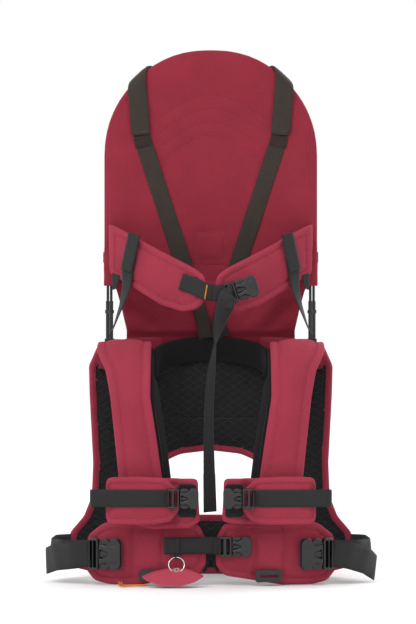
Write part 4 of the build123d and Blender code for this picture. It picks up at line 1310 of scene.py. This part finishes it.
def strap_line(points, width):
    """Outline of a flat strap along a straight or bent line."""
    path = np.array(points, float)
    along = np.gradient(path, axis=0)
    along /= np.linalg.norm(along, axis=1)[:, None]
    across = np.column_stack([-along[:, 1], along[:, 0]]) * width / 2
    return [Vector(point) for point in np.vstack([path + across, (path - across)[::-1]])]


def thin_strap(name, slot, material, line, surface, width, thick=1.5, cell=5.0, relief=None):
    """Flat strap laid on a surface of the backrest."""
    rim = [(0, 0), (0.3, thick * 0.35), (1.2, thick / 2)]
    panel = Panel(name, [material] * 3, strap_line(line, width), surface, rim, rim, cell=cell, relief=relief)
    rides(panel.piece, "backrest", slot)
    return panel


def harness():
    """Child's shoulder straps: wrapped over the rim, sleeved at the top, crossing the backrest in a V."""
    straps, sleeves = [], []
    for side, hand in SIDES:
        line = trail(mirrored(side, [(110, 762), (109, 729), (101, 640), (30, 424)]), 60, 6)
        strap = thin_strap(f"harness_strap_{hand}", "olive_webbing", OLIVE_WEB, line, rim_wrap(1.2), 25)
        straps.append(strap.piece)
        line = trail(mirrored(side, [(112, 790), (109, 729), (102, 643)]), 60, 6)
        sleeve = thin_strap(f"harness_sleeve_{hand}", "olive_webbing", OLIVE_WEB, line, rim_wrap(3.6), 28,
                            3.4, relief=lambda x, z: wrinkle(x, z, 14, 0.5))
        sleeves.append(sleeve.piece)
        bar = [(side * 102 + share, 648) for share in np.linspace(-12, 12, 8)]
        sleeve.sew("backrest", BLACK_THREAD, [bar], pitch=2.6, length=1.8)
        line = spaced(mirrored(side, [(101.4, 642), (98, 626)]), 4, False)
        thin_strap(f"harness_hook_patch_{hand}", "black_webbing", HOOK, line, rim_wrap(2.8), 24, 1.6, 4,
                   relief=lambda x, z: wrinkle(x, z, 4, 0.3))
        if side > 0:
            bar_tack = spaced([(57, 585), (81, 588)], 3, False)
            strap.sew("backrest", BLACK_THREAD, [bar_tack], pitch=1.8, length=1.7, radius=0.5)
    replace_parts(straps[0], "harness_straps")
    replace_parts(sleeves[0], "harness_sleeves")


harness()


def keepers():
    """Elastic keepers round the backrest's sides."""
    for side, hand in SIDES:
        line = spaced([(side * 141, 464), (side * 190, 464)], 4, False)
        thin_strap(f"edge_keeper_{hand}", "black_webbing", BLACK_WEB, line, rim_wrap(1.0), 16, 1.4, 4)


keepers()

# ---- child belt ---------------------------------------------------------------------------------
WING_PLAN = trail([(156, 70), (100, 26), (0, -27)], 120, 2)[::-1]


def wing_depth(x):
    """Depth of the belt wing at a distance from the middle."""
    return float(np.interp(abs(x), WING_PLAN[:, 0], WING_PLAN[:, 1]))


def wing_surface(x, z):
    """Middle of the belt, which curves from the backrest's edges to the front."""
    slope = (wing_depth(abs(x) + 1) - wing_depth(abs(x) - 1)) / 2 * (1 if x > 0 else -1)
    return Vector((x, wing_depth(x), z)), Vector((slope, -1, 0)).normalized()


def belt_wing(side, hand):
    """Padded wing of the child's belt, bound all round with a row of stitches."""
    outline = [(147, 513), (117, 497), (74, 473), (24, 447), (9, 436), (6, 418), (7, 400), (20, 388),
               (40, 384), (72, 394), (118, 423), (147, 440)]
    face = [(0, 0), (0.8, 2), (3, 3), (7.5, 3), (SEAM, 1.8), (12.5, 4), (22, 5)]
    fold = [[(side * 35, 394), (side * 37, 420), (side * 34, 446)]] if side < 0 else []
    panel = Panel(f"belt_wing_{hand}_cover", [CANVAS, CANVAS, BINDING],
                  rounded(mirrored(side, outline), [3] + [14] * 10 + [3]),
                  wing_surface, face, face, cell=4.5, seams=fold, band=SEAM, groove=1.4,
                  relief=lambda x, z: wrinkle(x, z, 26, 1.1, side) + wrinkle(x * 1.5, z * 3, 20, 0.5))
    panel.puff(3, 4)
    rides(panel.piece, "backrest", "burgundy_canvas", f"belt_wing_{hand}")
    for behind in (False, True):
        panel.sew("backrest", THREAD, [panel.hem(SEAM - 0.5)], behind)

    def tab_surface(x, z):
        return wing_surface(x, z)[0] + Vector((0, -5.6 + (z - 420) * 0.05, 0)), Vector(FORWARDS)

    tab = mirrored(side, [(132, 437), (144, 441), (143, 415), (136, 419)])
    rim = [(0, 0), (0.4, 0.7), (1.5, 0.8)]
    web = Panel(f"belt_tab_{hand}", [BLACK_WEB] * 3, tab, tab_surface, rim, rim, cell=4)
    rides(web.piece, "backrest", "black_webbing")


def belt_gusset(side, hand):
    """Strip that closes a belt wing's outer end against the backrest."""
    web = [(62.5, 443), (82.5, 443), (82.5, 512), (62.5, 512)]
    rim = [(0, 0), (0.4, 0.7), (1.5, 1.1)]
    panel = Panel(f"belt_gusset_{hand}", [CANVAS] * 3, rounded(web, 2),
                  lambda y, z: (Vector((side * (146 + 0.12 * (y - 62)), y, z)), Vector((side, 0, 0))),
                  rim, rim, cell=4, relief=lambda y, z: wrinkle(y, z, 9, 0.9, side), fade=4)
    rides(panel.piece, "backrest", "burgundy_canvas")


for side, hand in SIDES:
    belt_wing(side, hand)
    belt_gusset(side, hand)


def belt_webbing():
    """Webbing sewn on the left wing, with an orange bar tack at the wing's end."""
    route = [((-43, wing_depth(43) - 6.2, 428), (-0.35, -1, 0)),
             ((-24, wing_depth(24) - 6.6, 421), (-0.3, -1, 0)),
             (-8, -30.2, 413), (12, -30.8, 410)]
    black_strap("belt_webbing_strap", "backrest", route, 24, "belt_webbing", step=3, smooth=12)
    entry = [(4, -33.4, 410.6), (14, -34.4, 410.4), (26, -36, 411)]
    black_strap("belt_webbing_entry", "belt_clip", entry, 24, step=3, smooth=8)
    tack = [(at(-8.5 + 3.4 * share, -31.9, 402 + 21 * share), Vector(FORWARDS))
            for share in np.linspace(0, 1, 12)]
    stitching.sew("backrest", ORANGE_THREAD, tack, 1.3, 1.9, 1.1)


belt_webbing()


def side_straps():
    """Side webbing: sewn on the belt's top edge, then turned edge-on down to the vest's corner."""
    tops, runs = [], []
    for side, hand in SIDES:
        look = Vector((side * 0.62, -0.79, 0))

        def proud(x, z, lift):
            spot, facing = wing_surface(side * x, z)
            return tuple(spot + facing * lift)

        line = [(105, 497, 6.6), (108, 480, 7.4), (112, 462, 7.4), (116, 444, 7.4)]
        top = [(proud(x, z, lift + 2.6), look) for x, z, lift in line]
        tops.append(black_strap(f"side_strap_top_{hand}", "backrest", top, 22, step=3))
        run = [(proud(*line[2]), look, 22), (proud(*line[3]), look, 22),
               ((side * 122, 35, 420), (side * 0.80, -0.60, 0), 20),
               ((side * 130, 38, 392), (side * 0.96, -0.28, 0), 18),
               ((side * 140, 40, 364), (side, -0.08, 0), 16), ((side * 152, 40, 338), (side, 0, 0.1), 15)]
        made = webbing_strip(f"side_strap_run_{hand}", BLACK_WEB, run, 20, step=4, smooth=24)
        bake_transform(made)
        runs.append(made)
        for height in (493, 476):
            row = [(at(*proud(108 + share, height, 9.9)), look) for share in np.linspace(-9, 9, 8)]
            stitching.sew("backrest", BLACK_THREAD, row, 2.4, 1.8)
    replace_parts(tops[0], "side_strap_tops")
    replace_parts(runs[0], "side_strap_runs")


side_straps()

# ---- seat sling and crotch straps ---------------------------------------------------------------
SLING_TOP = 430
SLING_LOW = 338
SLING_FOLD = 353


def sling_surface(x, z):
    """Seat cloth: gathered at its corners, bellied in the middle, creased above its hem."""
    share = (z - SLING_FOLD) / (SLING_TOP - SLING_FOLD)
    rise = max(0, sin(pi * min(1, max(0, share))))
    belly = -4 * max(0, 1 - (x / 125) ** 2) * rise
    side = abs(x)
    fold = 6 * sin(side / 8.5 - (z - SLING_LOW) / 10 + 1.5 * noise.noise(Vector((x / 40, z / 30, 1))))
    pull = fold * min(1, max(0, (side - 45) / 60)) * rise
    sag = 4 * noise.noise(Vector((x / 34, z / 16, 6)))
    tuck = 6 * soft_step((SLING_FOLD + 3 * noise.noise(Vector((x / 50, 0, 8))) - z) / 1.4)
    return Vector((x, 84.5 + belly + pull + sag * rise + tuck, z)), Vector(FORWARDS)


def seat_sling():
    """Seat cloth between the backrest and the vest's collar."""
    outline = [(146, SLING_TOP), (138, 416), (130, 388), (123, 357), (124, SLING_LOW)]
    rim = [(0, 0), (0.5, 1.0), (2, 1.5), (6, 1.4), (8, 1.1)]
    panel = Panel("seat_cloth", [REST_CANVAS] * 3, rounded(both_sides(outline), 12), sling_surface, rim, rim,
                  cell=4, relief=lambda x, z: wrinkle(x, z, 18, 0.8, 5))
    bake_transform(panel.piece)
    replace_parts(panel.piece, "seat_sling")


def crotch_straps():
    """Olive straps that run on down the seat to the crotch, with a small black loop."""
    pieces = []
    for side, hand in SIDES:
        route = [(side * 29, 79.8, 428), (side * 22, 77.6, 405), (side * 13, 76.4 + side * 0.9, 376),
                 (side * 7, 79 + side * 0.9, 346)]
        strap = webbing_strip(f"crotch_strap_{hand}", OLIVE_WEB, route, 20, smooth=14)
        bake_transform(strap)
        pieces.append(strap)
    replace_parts(pieces[0], "crotch_straps")
    loop = [(22, 79, 350), (16, 75, 364), (9, 78, 350)]
    black_strap("crotch_loop", "struts", loop, 11, thick=1.4, step=3, smooth=9)


seat_sling()
crotch_straps()

# ---- free cords ---------------------------------------------------------------------------------
def route_curve(name, route):
    """Curve whose points steer a smooth line."""
    curve = bpy.data.curves.new(name, "CURVE")
    curve.dimensions = "3D"
    curve.resolution_u = 16
    spline = curve.splines.new("NURBS")
    spline.points.add(len(route) - 1)
    for point, place in zip(spline.points, route):
        point.co = (*place, 1)
    spline.order_u = 3
    spline.use_endpoint_u = True
    return curve


def line_points(curve):
    """Places along a curve's smooth line."""
    holder = bpy.data.objects.new("line", curve)
    mesh = bpy.data.meshes.new_from_object(holder)
    points = [vertex.co.copy() for vertex in mesh.vertices]
    bpy.data.objects.remove(holder)
    bpy.data.meshes.remove(mesh)
    return points


TAIL_DEPTH = -43.3
TAIL_HALF = 12.5


def belt_tail():
    """Free end of the belt's webbing: turned edge-on below the clip, doubled at its hem."""
    route = [(22, 397), (13, 372), (5, 334), (0, 290), (-3, 242), (-3, 192), (-2, 144), (-1, 100)]
    line = line_points(route_curve("belt_tail_line", [at(x, TAIL_DEPTH, z) for x, z in route]))
    path = spaced(line, 4 * MM, False)
    run = run_along(path)
    shares = run / run[-1]
    twist = np.radians(np.interp(shares, [0, 0.08, 0.2, 0.34, 0.55, 0.8, 1], [14, 44, 84, 64, 60, 52, 46]))
    sections, flat = [], []
    for number, centre in enumerate(path):
        along = heading(path, number)
        look = Vector((sin(twist[number]), -cos(twist[number]), 0))
        look = (look - along * look.dot(along)).normalized()
        across = along.cross(look).normalized()
        doubled = 1.5 if shares[number] > 0.82 else 0.8
        section = []
        for face, order in ((1, 1), (-1, -1)):
            for share in np.linspace(-1, 1, 9)[::order]:
                thin = 0.7 if abs(share) == 1 else 1.0
                beside = TAIL_HALF * share * MM
                section.append(Vector(centre) + across * beside + look * (face * doubled * thin * MM))
                flat.append((beside, run[number] + (0 if face > 0 else UV_BACK)))
        sections.append(section)
    tail = swept("belt_tail_webbing", sections, BLACK_WEB, flat)
    rides(tail, "belt_tail", "black_webbing", "belt_tail")


belt_tail()


def tail_fold():
    """Where the belt's webbing comes out over the ladder's bar before it hangs."""
    route = [((34, -35.4, 411), (0, -1, 0), 22), ((27, -40.5, 411.5), (-0.5, -1, 0), 22),
             ((22.5, -44, 407), (-0.3, -1, 0.2), 23), ((21.5, -43.6, 397), (-0.2, -1, 0), 25),
             ((20, -43.3, 390), (-0.24, -1, 0), 25)]
    black_strap("belt_tail_fold", "belt_clip", route, 24, thick=1.5, step=2, smooth=5)


tail_fold()


FRAY_STRANDS = 34


def orange_cord():
    """Short pull cord under the left flap, with a frayed end."""
    route = [at(-90, -108, 2.4), at(-101, -113, 2.6), at(-111, -113, 2.2), at(-121, -117, 2.0)]
    curve = route_curve("orange_cord_line", route)
    curve.bevel_depth = 1.5 * MM
    curve.bevel_resolution = 3
    curve.use_fill_caps = True
    curve.materials.append(ORANGE)
    cord = bpy.data.objects.new("orange_pull_cord", curve)
    bpy.context.scene.collection.objects.link(cord)
    rides(cord, "vest", "orange_cord", "orange_cord")
    chance = np.random.default_rng(7)
    points, faces = [], []
    for _ in range(FRAY_STRANDS):
        start = route[-1] + Vector((0, chance.uniform(-1, 1), chance.uniform(-0.8, 1))) * MM
        end = start + Vector((-chance.uniform(4, 9), chance.uniform(-7, 6), chance.uniform(-1, 6))) * MM
        end.z = max(end.z, 0.5 * MM)
        first = len(points)
        for place in (start, (start + end) / 2 + Vector((0, 0, chance.uniform(0, 1))) * MM, end):
            points.extend([place + Vector((0, 0.35, 0)) * MM, place + Vector((0, -0.2, 0.3)) * MM,
                           place + Vector((0, -0.2, -0.3)) * MM])
        for level in (0, 3):
            for corner in range(3):
                other = (corner + 1) % 3
                faces.append((first + level + corner, first + level + other, first + level + 3 + other,
                              first + level + 3 + corner))
    fray = build("orange_cord_fray", points, faces, [ORANGE], [(point.x, point.y) for point in points])
    rides(fray, "vest", "orange_cord")


orange_cord()

stitching.finish()

# ---- floor --------------------------------------------------------------------------------------
def floor():
    """Pale studio floor that fades into the background."""
    size = 6.0
    piece = build("studio_floor", [(-size, -size, 0), (size, -size, 0), (size, size, 0), (-size, size, 0)],
                  [(0, 1, 2, 3)], [])
    finish = Finish("studio_floor", 0.75, "Object")
    finish.colour(finish.mix(finish.noise(0.8), (0.955, 0.955, 0.955, 1), (0.97, 0.97, 0.97, 1)))
    piece.data.materials.append(finish.material)


floor()
